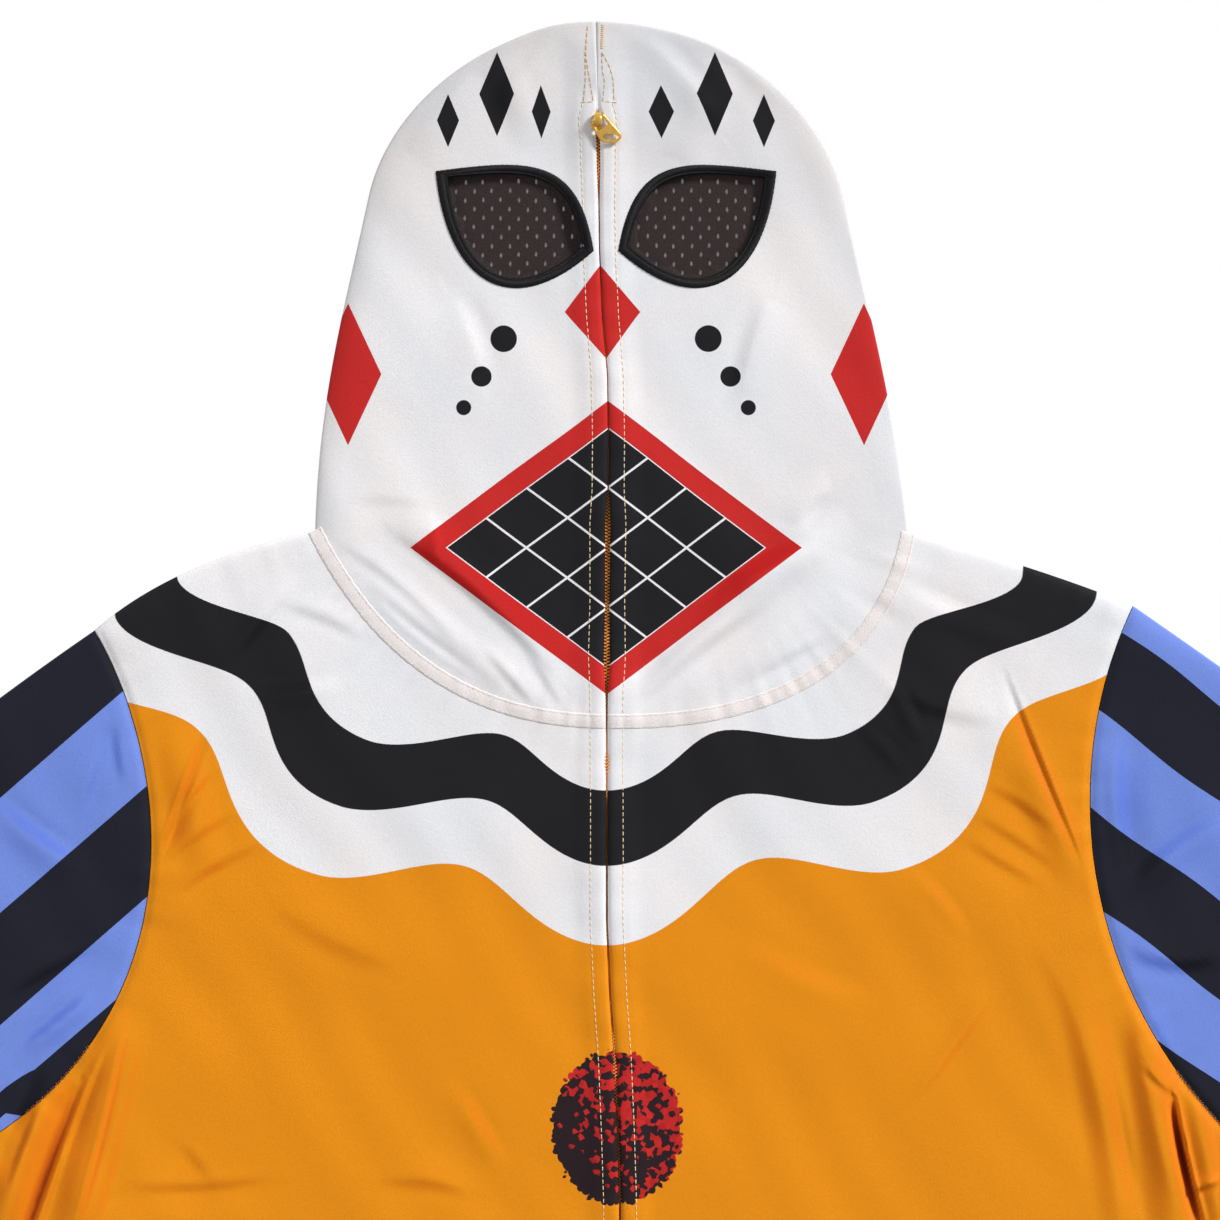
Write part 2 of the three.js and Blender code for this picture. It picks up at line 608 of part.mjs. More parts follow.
// The slider: a plate over the chain, its neck at the top end, and the bail that the pull hangs on.
function zipSlider() {
  const { half, length, plateUnder, plateTop, neckHalf, neckLength } = SLIDER;
  const top = SLIDER_UP + length / 2;
  const bottom = SLIDER_UP - length / 2;
  const plate = box(-half, half, bottom, top, plateUnder, plateTop);
  const neck = box(-neckHalf, neckHalf, top - neckLength, top, EDGE_UNDER, plateTop - 0.2);
  const arch = (reach, halfWidth, low, high) =>
    solidOf(box(-halfWidth, halfWidth, SLIDER_UP - reach, SLIDER_UP + reach, low, high));
  const outside = arch(BAIL.outer, BAIL.half, plateTop - 0.2, BAIL.top);
  const bail = outside.subtract(arch(BAIL.inner, half, plateTop, BAIL.ceiling));
  return geometryFrom(solidOf(plate).add(solidOf(neck)).add(bail));
}

// The pull tab, in its own frame: its hinge bar lies along X at the origin and the tab runs along -Y.
function pullTab() {
  const { armInner, barRadius, hingeHalf, endHalf, windowEnd, length, thick } = PULL;
  const start = barRadius * 0.4;
  const corner = 1.6;
  const outline = new THREE.Shape();
  outline.moveTo(-hingeHalf, start);
  outline.lineTo(-endHalf, -length + corner);
  outline.quadraticCurveTo(-endHalf, -length, -endHalf + corner, -length);
  outline.lineTo(endHalf - corner, -length);
  outline.quadraticCurveTo(endHalf, -length, endHalf, -length + corner);
  outline.lineTo(hingeHalf, start);
  const window = new THREE.Path();
  window.moveTo(-armInner, start - 0.1);
  window.lineTo(armInner, start - 0.1);
  window.lineTo(armInner, -windowEnd);
  window.lineTo(-armInner, -windowEnd);
  const slot = new THREE.Path();
  slot.absellipse(0, -PULL.slotCentre, PULL.slotHalfWidth, PULL.slotHalfLength, 0, Math.PI * 2);
  outline.holes.push(window, slot);
  const plate = new THREE.ExtrudeGeometry(outline, { depth: thick, bevelEnabled: false, curveSegments: 6 });
  plate.translate(0, 0, -thick / 2);
  const bar = new THREE.CylinderGeometry(barRadius, barRadius, 2 * hingeHalf, 10).rotateZ(Math.PI / 2);
  return geometryFrom(solidOf(plate).add(solidOf(bar)));
}

const COLOURS = {
  orange: new THREE.Color(0.77, 0.27, 0.013),
  white: new THREE.Color(0.82, 0.81, 0.82),
  stripe: new THREE.Color(0.165, 0.255, 0.7),
  band: new THREE.Color(0.82, 0.77, 0.74),
  net: new THREE.Color(0.012, 0.011, 0.012),
  tape: new THREE.Color(0.55, 0.2, 0.02),
  metal: new THREE.Color(0.8, 0.5, 0.14),
};

function mesh(name, geometry, colour, roughness = 0.75, metalness = 0) {
  const material = new THREE.MeshStandardMaterial({ color: colour, roughness, metalness });
  const made = new THREE.Mesh(geometry, material);
  made.name = name;
  return made;
}

const hoodie = new THREE.Group();
hoodie.add(mesh("back_panel", backPanel(), COLOURS.orange));
for (const [name, side] of Object.entries(SIDES)) {
  const lines = LINES[name];
  hoodie.add(mesh(`front_${name}`, frontPanel(side, lines), COLOURS.orange));
  hoodie.add(mesh(`sleeve_${name}`, sleeve(lines), COLOURS.stripe));
  hoodie.add(mesh(`hood_${name}`, hoodHalf(side, lines), COLOURS.white));
  hoodie.add(mesh(`neck_band_${name}`, neckBand(side, lines), COLOURS.band));
  hoodie.add(mesh(`eye_mesh_${name}`, eyeMesh(side), COLOURS.net));
  hoodie.add(mesh(`zip_tape_${name}`, zipTape(side), COLOURS.tape));
}
hoodie.add(mesh("zip_chain", zipChain(), COLOURS.tape, 0.5));
const slider = mesh("zip_slider", zipSlider(), COLOURS.metal, 0.3, 0.9);
slider.position.x = zipLean(SLIDER_UP);
hoodie.add(slider);

const pull = mesh("zip_pull", pullTab(), COLOURS.metal, 0.3, 0.9);
pull.rotation.x = degrees(PULL.tilt);
const pullTurn = new THREE.Group();
pullTurn.position.set(zipLean(SLIDER_UP), SLIDER_UP, PULL.axisHeight);
pullTurn.rotation.z = degrees(PULL.swivel);
pullTurn.add(pull);
hoodie.add(pullTurn);

export default hoodie;
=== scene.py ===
"""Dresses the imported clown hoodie: its cloth, print, sewing, zip and eye nets, laid flat under a camera.

Sizes are in millimetres in the part's frame, up to the MM factor at each mesh. +X is towards the viewer's
right, +Y runs from the hem to the top of the hood, +Z is up. Left and right in names are the viewer's.
"""

import math

import bpy
import numpy as np
from mathutils import Matrix, Vector
from mathutils.geometry import delaunay_2d_cdt


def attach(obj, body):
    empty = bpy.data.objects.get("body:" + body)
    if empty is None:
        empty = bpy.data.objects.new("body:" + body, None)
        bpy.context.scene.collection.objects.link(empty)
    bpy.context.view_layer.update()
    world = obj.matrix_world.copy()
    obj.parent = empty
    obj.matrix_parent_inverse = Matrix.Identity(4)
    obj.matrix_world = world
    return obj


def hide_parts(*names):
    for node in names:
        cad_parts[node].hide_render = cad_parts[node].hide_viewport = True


MM = 0.001

# Layers, as in the part's source.
CLOTH = 1.2
SHELL = 0.9
SEAM_GAP = 0.35
EDGE_UNDER = 1.5
FLAT_UNDER = 3.2
EDGE_ROLL = 11
FOLD_REACH = 1.1
FOLD_FADE = 15

NECK_FRONT_UP = 196
NECK_BACK_UP = 267
HOOD_TOP_UP = 511
HEM_UP = -430
HEM_HALF = 281
SLEEVE_LENGTH = 620
CUFF_WIDTH = 106
UNDERARM_PULL = 45
SHOULDER_SHARE = 0.56
SIDE_SHARE = 0.6
HOOD_SIDE_SHARE = 0.58
OUTLINE_STEPS = 28

ZIP_COVER_UNDER = 4.4
ZIP_COVER_HALF = 4
ZIP_COVER_FADE = 13
SLIDER_UP = 466
SLIDER_LIFT = 1.2
SEAM_START_UP = 477
STITCH_TOP_UP = 474
LEAN_HOLD = 11
LEAN_FADE = 36
GAP_FADE = 8

SIDES = {
    "left": dict(
        sign=-1, neck_point=(131, 282), neck_front_pull=(66, 196), neck_side_pull=(106, 232),
        shoulder=(230, 237), shoulder_bow=6, armhole_top_pull=(190, 167), armhole_low_pull=(188, 54),
        armpit=(291, 0), underarm_angle=14, sleeve_angle=41, sleeve_cap_bend=7,
    ),
    "right": dict(
        sign=1, neck_point=(136, 281), neck_front_pull=(78, 194), neck_side_pull=(126, 224),
        shoulder=(237, 248), shoulder_bow=1.5, armhole_top_pull=(205, 182), armhole_low_pull=(206, 77),
        armpit=(291, 0), underarm_angle=22, sleeve_angle=36.5, sleeve_cap_bend=2,
    ),
}
HOOD_SIDE_PULLS = ((130, 340), (117, 385))
HOOD_TEMPLE = (107, 432)
HOOD_CROWN_PULLS = ((98, 474), (52, HOOD_TOP_UP))

# How far right the zip wanders, and half of the slit between its edges, at heights up from the chest line.
LEAN_UP = (-430, -250, -20, 12, 45, 72, 106, 215, 322, 352, 378, 408, 471, 511)
LEAN_OUT = (3, 7, 6.3, 5.3, 3.9, 1.9, 0.4, 0.3, 1.1, 0.7, -1.6, -2.9, -3.7, -4.7)
SLIT_UP = (-430, 60, 130, 170, 196, 210, 224, 250, 285, 300, 428, 446, 458, 463, 468.5, 472, 511)
SLIT_HALF = (0.45, 0.5, 0.45, 0.4, 0.4, 0.6, 1.4, 0.9, 1.2, 0.3, 0.3, 0.8, 0.9, 1.5, 1.4, 0.06, 0.06)

# The largest folds, close to those of the solids: a straight soft ridge from one point to another.
FOLDS = (
    # x0, y0, x1, y1, rise, half
    (-215, 66, -247, -66, 3.2, 14),
    (-246, 42, -277, -44, 3.2, 11),
    (-214, -20, -236, -170, 3, 16),
    (211, 92, 238, -66, 1.1, 12),
    (239, 70, 262, -60, 3.3, 15),
    (262, 34, 280, -44, 3.6, 10),
    (186, 182, 216, 120, 1.4, 13),
    (-196, 196, -178, 128, 1.4, 13),
    (-92, 292, -20, 222, 1.9, 13),
    (-108, 262, -38, 208, 1.5, 11),
    (108, 288, 24, 222, 1.9, 13),
    (100, 252, 40, 206, 1.5, 11),
    (-50, 495, -30, 455, 1.3, 14),
    (52, 492, 34, 448, 1.4, 14),
    (-330, 100, -450, -60, 3, 18),
    (-520, -220, -500, -330, 4.5, 17),
    (300, 170, 330, 40, 3.5, 18),
    (540, -160, 520, -280, 4.5, 17),
    (-120, -250, -60, -390, 3, 22),
    (150, -200, 110, -380, 3.5, 24),
)

# Creases laid over the folds, grouped by where they lie. Each runs from its start past its middle to
# its end. Its steep side, 1 to the left of that way and -1 to the right, falls into a small trough.
CREASES = (
    # start, middle, end, rise, half, steep
    # Hood, left of the zip.
    ((-118, 276), (-92, 262), (-66, 232), 0.7, 4, -1),
    ((-96, 283), (-52, 256), (-14, 208), 1.0, 4.4, -1),
    ((-54, 229), (-42, 216), (-31, 203), 0.8, 3, -1),
    ((-34, 226), (-25, 214), (-19, 203), 0.8, 3, -1),
    ((-116, 292), (-98, 294), (-78, 290), -0.4, 5, 1),
    ((-78, 286), (-75, 277), (-76, 267), 0.8, 3, 1),
    ((-70, 386), (-61, 370), (-57, 352), 1.1, 7, 1),
    ((-104, 250), (-84, 231), (-58, 214), 0.6, 3, 1),
    # Hood, right of the zip.
    ((70, 250), (42, 232), (13, 204), 1.1, 4.4, 1),
    ((99, 236), (84, 228), (64, 216), 0.8, 4, 1),
    ((54, 246), (36, 236), (12, 213), -0.9, 4, 1),
    ((102, 302), (90, 298), (84, 284), 1.0, 6, 1),
    ((92, 272), (76, 268), (56, 256), 1.2, 6, -1),
    ((74, 386), (65, 363), (61, 341), 1.1, 7, -1),
    # Crown.
    ((-48, 471), (-36, 489), (-21, 503), 0.8, 7, 1),
    ((42, 509), (65, 494), (83, 471), 0.8, 8, -1),
    ((15, 503), (38, 485), (51, 462), 1.1, 7, 1),
    ((-90, 452), (-72, 470), (-58, 488), 1.0, 8, 1),
    # Left armpit.
    ((-215, 56), (-221, 22), (-237, -34), -1.3, 2.4, -1),
    ((-224, 48), (-232, 30), (-243, 2), -0.9, 2.2, -1),
    ((-236, 34), (-246, 8), (-268, -56), -3.0, 2.8, 1),
    ((-257, 22), (-262, 8), (-270, -12), -1.1, 2.4, 1),
    ((-193, 5), (-186, -3), (-179, -12), -0.5, 4, 1),
    ((-216, -16), (-184, -18), (-150, -12), -0.8, 5, 1),
    # Right armpit.
    ((192, 100), (220, 64), (233, -34), 0.8, 8, -1),
    ((227, 40), (231, 20), (237, -14), -0.5, 3, 1),
    ((238, 64), (242, 28), (256, -20), 0.8, 6, -1),
    ((243, 42), (248, 34), (255, 30), 1.0, 3, -1),
    ((255, 27), (257, 8), (268, -32), -7, 1.8, 1),
    ((263, -15), (268, -11.5), (275, -10), 2.2, 2.4, -1),
    # Chest and shoulders.
    ((175, 76), (155, 48), (138, 25), 0.6, 3.6, 1),
    ((179, 218), (192, 184), (213, 133), -1.3, 1.8, 1),
    ((170, 165), (183, 160), (200, 145), -0.7, 4, 1),
    ((166, 151), (184, 141), (199, 129), -0.6, 4, 1),
    ((160, 141), (176, 130), (193, 121), -0.6, 4, 1),
    ((137, 128), (155, 113), (161, 99), 0.5, 4, 1),
    ((-181, 190), (-188, 166), (-199, 140), -1.1, 1.8, -1),
    ((-176, 172), (-192, 156), (-199, 134), -0.8, 2.4, -1),
    ((-152, 139), (-178, 128), (-192, 116), -0.7, 4.5, -1),
    ((-164, 153), (-186, 142), (-197, 130), -0.6, 4, -1),
    ((236, 190), (232, 160), (240, 128), -1.2, 6, -1),
    ((128, 212), (136, 202), (142, 186), 1.0, 3.4, 1),
    ((112, 196), (124, 188), (136, 172), 0.8, 3, 1),
    ((-146, 250), (-128, 246), (-110, 236), 0.8, 4, -1),
    ((-138, 262), (-156, 243), (-167, 226), 0.9, 5, 1),
    ((-118, 214), (-138, 206), (-158, 210), 0.8, 5, -1),
    ((134, 252), (160, 241), (186, 233), 0.9, 6, 1),
    ((126, 214), (150, 199), (177, 198), 0.7, 6, -1),
    ((-68, 30), (-57, 12), (-48, -4), 0.8, 5, 1),
    ((-102, -10), (-79, -6), (-61, -15), 0.8, 6, -1),
    ((60, 96), (90, 74), (118, 70), 0.7, 7, 1),
    ((-150, 118), (-126, 96), (-92, 88), 0.7, 8, -1),
    # Out of the photograph: lower body and sleeves.
    ((-60, -60), (-72, -140), (-40, -210), 1.6, 12, 1),
    ((90, -70), (120, -150), (96, -230), 1.7, 13, -1),
    ((-200, -250), (-150, -290), (-120, -360), 1.6, 12, 1),
    ((210, -150), (190, -240), (205, -330), 1.8, 12, 1),
    ((-340, 60), (-372, 0), (-380, -60), 1.8, 9, 1),
    ((-420, -60), (-440, -110), (-480, -150), 1.9, 9, -1),
    ((-560, -260), (-575, -300), (-560, -340), 1.6, 8, 1),
    ((345, 70), (370, 20), (372, -40), 1.8, 9, -1),
    ((430, -20), (470, -60), (480, -120), 1.9, 9, 1),
    ((590, -200), (600, -240), (590, -280), 1.6, 8, -1),
    # Sleeves, in view.
    ((-222, 195), (-223, 182), (-219, 168), -0.7, 4, 1),
    ((-226, 178), (-229, 167), (-233, 155), -0.6, 4, -1),
    ((-276, 160), (-258, 140), (-236, 130), 1.2, 6, 1),
    ((-268, 70), (-246, 84), (-228, 92), -0.9, 5, 1),
    ((-262, 48), (-246, 60), (-232, 72), 1.1, 4, 1),
    ((278, 150), (256, 142), (238, 120), 1.2, 6, -1),
    ((276, 92), (254, 84), (236, 96), 1.4, 6, 1),
)
CREASE_STEPS = 12
CREASE = dict(steep=1.9, gentle=0.75, trough=0.35, trough_off=1.15, trough_half=0.55)

# Painted crease shade: depth below the fold and steepness of the cloth set how much deeper and darker the
# colour is painted there.
CREASE_SHADE_FROM = 0.7
CREASE_SHADE_DEPTH = 2.2
CREASE_SHADE_MOST = 4.0
SLOPE_STEP = 1.5
SLOPE_FROM = 0.06
SLOPE_MOST = 0.25
SLOPE_WEIGHT = 1.7
LOWEST_TOP = 2.2

# Broad unevenness: each row is a wave's rise, its length along x and along y, and where it starts.
UNDULATION = (
    (0.34, 151, 97, 0.4),
    (0.28, -83, 140, 2.1),
    (0.20, 67, -59, 4.0),
    (0.14, -41, -72, 1.2),
    (0.10, 33, 47, 5.1),
)

EYE = dict(
    outer_corner=(76, 443), inner_corner=(6, 407.6),
    upper_pulls=((35.6, 24), (52.9, 34.7)), lower_pulls=((25.9, 41.5), (60, 46.5)),
    upper_height=22, lower_height=33, outer_reach=1.4, inner_reach=1.2,
)
EYE_WINDOW = -2.8
EYE_NET = -0.5
NET_HOLES_WITHIN = -4.6
NET_TOP = 1.55
NET_THICK = 0.25
NET_RIM_TOP = 2.6
NET_RIM_REACH = 5
TAPE_INNER = 2.9
TAPE_OUTER = 5.9
TAPE_THICK = 1.0
TAPE_SHELL = 0.8
COIL_BASE = dict(half=2.3, top=3.0, thick=1.2)
CHAIN_TOP = 4.3
NECK_BAND_WIDTH = 6.6

# Linear colours.
WARM_WHITE = (0.87, 0.835, 0.84)
COOL_WHITE = (0.82, 0.825, 0.86)
BLACK = (0.010, 0.010, 0.013)
ORANGE = (0.8, 0.268, 0.003)
BLUE = (0.17, 0.265, 0.73)
SLEEVE_BLACK = (0.010, 0.011, 0.021)
RED = (0.58, 0.02, 0.018)
BAND = (0.875, 0.815, 0.8)


def mix(p, q, t):
    return p + (q - p) * t


def smooth(t):
    c = np.clip(t, 0, 1)
    return c * c * (3 - 2 * c)


def bell(t):
    return np.exp(-(t**2))


def cubic(p0, p1, p2, p3):
    points = [np.array(p, float) for p in (p0, p1, p2, p3)]

    def at(t):
        t = np.asarray(t, float)[..., None]
        weights = ((1 - t) ** 3, 3 * t * (1 - t) ** 2, 3 * t * t * (1 - t), t**3)
        return sum(w * p for w, p in zip(weights, points))

    return at


def quadratic(p0, p1, p2):
    p0, p1, p2 = (np.array(p, float) for p in (p0, p1, p2))
    return cubic(p0, mix(p0, p1, 2 / 3), mix(p2, p1, 2 / 3), p2)


def joined(first, second, share):
    """Two curves as one: the first up to that share of the way, then the second."""

    def at(t):
        t = np.asarray(t, float)
        low = first(np.minimum(t / share, 1))
        high = second(np.maximum((t - share) / (1 - share), 0))
        return np.where((t < share)[..., None], low, high)

    return at


def unit(v):
    return v / np.linalg.norm(v, axis=-1, keepdims=True)


def beside(curve, distance):
    """A curve moved sideways, to the left of its direction of travel where distance is positive."""

    def at(t):
        t = np.asarray(t, float)
        d = unit(curve(np.minimum(t + 0.01, 1)) - curve(np.maximum(t - 0.01, 0)))
        return curve(t) + distance * np.stack([-d[..., 1], d[..., 0]], -1)

    return at


def zip_lean(up):
    return np.interp(up, LEAN_UP, LEAN_OUT)


def slit_half(up):
    return np.interp(up, SLIT_UP, SLIT_HALF)


def lean_share(x):
    return 1 - smooth((np.abs(x) - LEAN_HOLD) / LEAN_FADE)


def leaned(p):
    return np.stack([p[..., 0] + zip_lean(p[..., 1]) * lean_share(p[..., 0]), p[..., 1]], -1)


def unleaned(x, y):
    """Where a point of the laid cloth would be if the zip ran straight."""
    flat = x
    for _ in range(4):
        flat = x - zip_lean(y) * lean_share(flat)
    return flat


def pushed_out(sign, p, gap):
    return np.stack([p[..., 0] + sign * gap * np.exp(-np.abs(p[..., 0]) / GAP_FADE), p[..., 1]], -1)


def opened(sign, p):
    """Points moved out to the slit's edge on their side, and along with the zip's lean."""
    return leaned(pushed_out(sign, p, slit_half(p[..., 1])))


def level(xy, height):
    """Points [x, y] at one height."""
    return np.concatenate([xy, np.full((*xy.shape[:-1], 1), height)], -1)


# How sharply a moved end of a curve goes back to the curve's own way.
END_EASE = 20


def started_at(curve, place):
    """A curve whose start is moved to another place."""
    return lambda t: mix(curve(t), place, (1 - np.asarray(t, float)[..., None]) ** END_EASE)


def ended_at(curve, place):
    return lambda t: mix(curve(t), place, np.asarray(t, float)[..., None] ** END_EASE)


def lines_of(side):
    """The seam and edge lines of one side, each a curve over 0 to 1."""
    sign = side["sign"]

    def at(p):
        return np.array([sign * p[0], p[1]], float)

    neck_point = at(side["neck_point"])
    shoulder = at(side["shoulder"])
    armpit = at(side["armpit"])
    neck_pulls = at(side["neck_front_pull"]), at(side["neck_side_pull"])
    neck_front = cubic((0, NECK_FRONT_UP), *neck_pulls, neck_point)
    neck_back = quadratic((0, NECK_BACK_UP), (neck_point[0] * 0.62, NECK_BACK_UP), neck_point)
    bow = side["shoulder_bow"]
    shoulder_line = quadratic(neck_point, mix(neck_point, shoulder, 0.6) + at((bow, 2 * bow)), shoulder)
    armhole = cubic(shoulder, at(side["armhole_top_pull"]), at(side["armhole_low_pull"]), armpit)
    side_seam = quadratic(at((HEM_HALF, HEM_UP + 2)), at((279, -200)), armpit)
    hem = quadratic((0, HEM_UP), at((HEM_HALF / 2, HEM_UP)), at((HEM_HALF, HEM_UP + 2)))

    angle = math.radians(side["sleeve_angle"])
    cap_angle = math.radians(side["sleeve_angle"] - side["sleeve_cap_bend"])
    underarm_angle = math.radians(side["underarm_angle"])
    cuff_top = shoulder + at((math.cos(angle), -math.sin(angle))) * SLEEVE_LENGTH
    cuff_low = cuff_top + at((-math.sin(angle), -math.cos(angle))) * CUFF_WIDTH
    cap = shoulder + at((math.cos(cap_angle), -math.sin(cap_angle))) * SLEEVE_LENGTH * 0.3
    underarm = armpit + at((math.cos(underarm_angle), -math.sin(underarm_angle))) * UNDERARM_PULL
    hood_side = cubic(neck_point, *map(at, HOOD_SIDE_PULLS), at(HOOD_TEMPLE))
    hood_crown = cubic(at(HOOD_TEMPLE), *map(at, HOOD_CROWN_PULLS), (0, HOOD_TOP_UP))
    return dict(
        neck_front=neck_front,
        neck_back=neck_back,
        shoulder=shoulder_line,
        armhole=armhole,
        side_seam=side_seam,
        hem=hem,
        sleeve_top=quadratic(shoulder, cap, cuff_top),
        sleeve_low=cubic(armpit, underarm, mix(armpit, cuff_low, 0.5), cuff_low),
        cuff=lambda t: mix(cuff_top, cuff_low, np.asarray(t, float)[..., None]),
        hood_outline=joined(hood_side, hood_crown, HOOD_SIDE_SHARE),
    )


LINES = {name: lines_of(side) for name, side in SIDES.items()}


def polyline(curve, steps=OUTLINE_STEPS):
    return curve(np.linspace(0, 1, steps + 1))


def upright(low, high):
    """A straight line up the middle from one height to another."""
    return lambda t: np.stack([np.zeros(np.shape(t)), mix(low, high, np.asarray(t, float))], -1)


def way_along(line):
    """How far along a line each of its points is."""
    return np.concatenate([[0], np.cumsum(np.linalg.norm(np.diff(line, axis=0), axis=1))])


def near_line(line, x, y, margin):
    """True for points inside the box round a line, grown by a margin."""
    low, high = line.min(0) - margin, line.max(0) + margin
    return (x > low[0]) & (x < high[0]) & (y > low[1]) & (y < high[1])


def nearest(line, x, y):
    """Distance from each point to a polyline, the side it lies on, and how far along the nearest place is."""
    shape = np.shape(x)
    p = np.stack([np.ravel(x), np.ravel(y)], -1)
    start, run = line[:-1], np.diff(line, axis=0)
    length = np.linalg.norm(run, axis=1)
    before = way_along(line)
    away, side, along = (np.empty(len(p)) for _ in range(3))
    for i in range(0, len(p), 8192):
        d = p[i : i + 8192, None] - start
        t = np.clip((d * run).sum(-1) / length**2, 0, 1)
        gap = np.linalg.norm(d - t[..., None] * run, axis=-1)
        k = gap.argmin(1)
        row = np.arange(len(k))
        away[i : i + 8192] = gap[row, k]
        side[i : i + 8192] = np.sign(run[k, 0] * d[row, k, 1] - run[k, 1] * d[row, k, 0])
        along[i : i + 8192] = before[k] + t[row, k] * length[k]
    return away.reshape(shape), side.reshape(shape), along.reshape(shape)


EDGE_NAMES = ("hem", "side_seam", "sleeve_low", "cuff", "sleeve_top", "shoulder", "hood_outline")
EDGES = [polyline(lines[name]) for lines in LINES.values() for name in EDGE_NAMES]


def edge_distance(x, y):
    """Distance to the nearest edge of the garment, exact up to the width of the rolled edge."""
    least = np.full(np.shape(x), 1e3)
    for line in EDGES:
        near = near_line(line, x, y, EDGE_ROLL)
        if near.any():
            least[near] = np.minimum(least[near], nearest(line, x[near], y[near])[0])
    return least


def fold_height(x, y):
    total = np.zeros(np.shape(x))
    for x0, y0, x1, y1, rise, half in FOLDS:
        dx, dy = x1 - x0, y1 - y0
        length = math.hypot(dx, dy)
        along = ((x - x0) * dx + (y - y0) * dy) / length**2
        off = np.abs((x - x0) * dy - (y - y0) * dx) / length
        inside = (along > 0) & (along < 1) & (off < half)
        crest = np.cos(np.clip(off / half, 0, 1) * math.pi / 2) ** 2
        total += inside * rise * crest * np.sin(np.clip(along, 0, 1) * math.pi) ** 0.8
    return total


def crease_height(x, y):
    total = np.zeros(np.shape(x))
    for start, middle, end, rise, half, steep in CREASES:
        line = polyline(quadratic(start, middle, end), CREASE_STEPS)
        near = near_line(line, x, y, 4 * half)
        if not near.any():
            continue
        away, side, along = nearest(line, x[near], y[near])
        length = np.linalg.norm(np.diff(line, axis=0), axis=1).sum()
        ends = np.sin(np.clip(along / length, 0.02, 0.98) * math.pi) ** 0.7
        off = away * side * steep / half
        slope = np.where(off > 0, CREASE["steep"] * off, CREASE["gentle"] * off)
        trough = bell((off - CREASE["trough_off"]) / CREASE["trough_half"])
        ridge = bell(slope) - CREASE["trough"] * trough
        total[near] += rise * ends * ridge
    return total


def painted_crease_shade(x, y):
    """How much painted shade each point gets: how deep and how steep it lies in a crease, 0 on flat cloth."""

    def relief(x, y):
        return fold_height(x, y) + crease_height(x, y)

    depth = np.clip((-crease_height(x, y) - CREASE_SHADE_FROM) / CREASE_SHADE_DEPTH, 0, CREASE_SHADE_MOST)
    rise_x = relief(x + SLOPE_STEP, y) - relief(x - SLOPE_STEP, y)
    rise_y = relief(x, y + SLOPE_STEP) - relief(x, y - SLOPE_STEP)
    slope = np.hypot(rise_x, rise_y) / (2 * SLOPE_STEP)
    return depth + SLOPE_WEIGHT * np.clip(slope - SLOPE_FROM, 0, SLOPE_MOST)


def upper_painted_crease_shade(vertices):
    """The painted crease shade at the vertices of a tube, 0 on its lower layer."""
    return painted_crease_shade(vertices[:, 0], vertices[:, 1]) * (vertices[:, 2] > CLOTH)


def undulation(x, y):
    total = np.zeros(np.shape(x))
    for rise, along_x, along_y, start in UNDULATION:
        bend = 0.9 * np.sin(2 * math.pi * (y / 210 - x / 260) + start)
        total += rise * np.sin(2 * math.pi * (x / along_x + y / along_y) + start + bend)
    return total


# Small puckers that a seam draws into the cloth beside it.
PUCKERS = (
    # line, reach, pitch, rise
    ("neck_front", 15, 13, 0.26),
    ("armhole", 11, 21, 0.3),
    ("shoulder", 12, 19, 0.25),
    ("side_seam", 10, 24, 0.3),
)


def pucker_height(x, y):
    total = np.zeros(np.shape(x))
    for name, lines in LINES.items():
        for line_name, reach, pitch, rise in PUCKERS:
            line = polyline(lines[line_name], 20)
            near = near_line(line, x, y, 3 * reach)
            if not near.any():
                continue
            away, _, along = nearest(line, x[near], y[near])
            turn = 2 * math.pi * along / pitch + 1.7 * np.sin(along / 17 + SIDES[name]["sign"])
            wave = 0.65 * np.sin(turn) + 0.35 * np.sin(1.73 * turn + 0.8)
            total[near] += rise * wave * np.exp(-away / reach)
    return total


ARMHOLES = [polyline(lines["armhole"], 40) for lines in LINES.values()]
SEAM_DIP = dict(depth=0.9, half=2.4, margin=8)


def seam_dip(x, y):
    """How far the cloth sinks towards an armhole seam."""
    total = np.zeros(np.shape(x))
    for line in ARMHOLES:
        near = near_line(line, x, y, SEAM_DIP["margin"])
        if near.any():
            away = nearest(line, x[near], y[near])[0]
            total[near] += SEAM_DIP["depth"] * bell(away / SEAM_DIP["half"])
    return total


TOPSTITCH_OFF = 6.9
SLIDER_MOUND = dict(flat=4, fade=14)
CROWN_FALL = dict(down=4, fade=22)
SEAM_FADE = dict(up=6, fade=8)
ZIP_WAVE = dict(rise=0.16, pitch=15, reach=9)
ZIP_EDGE_ROLL = dict(depth=0.7, reach=1.8)
STITCH_GROOVE = dict(depth=0.22, half=1.1)


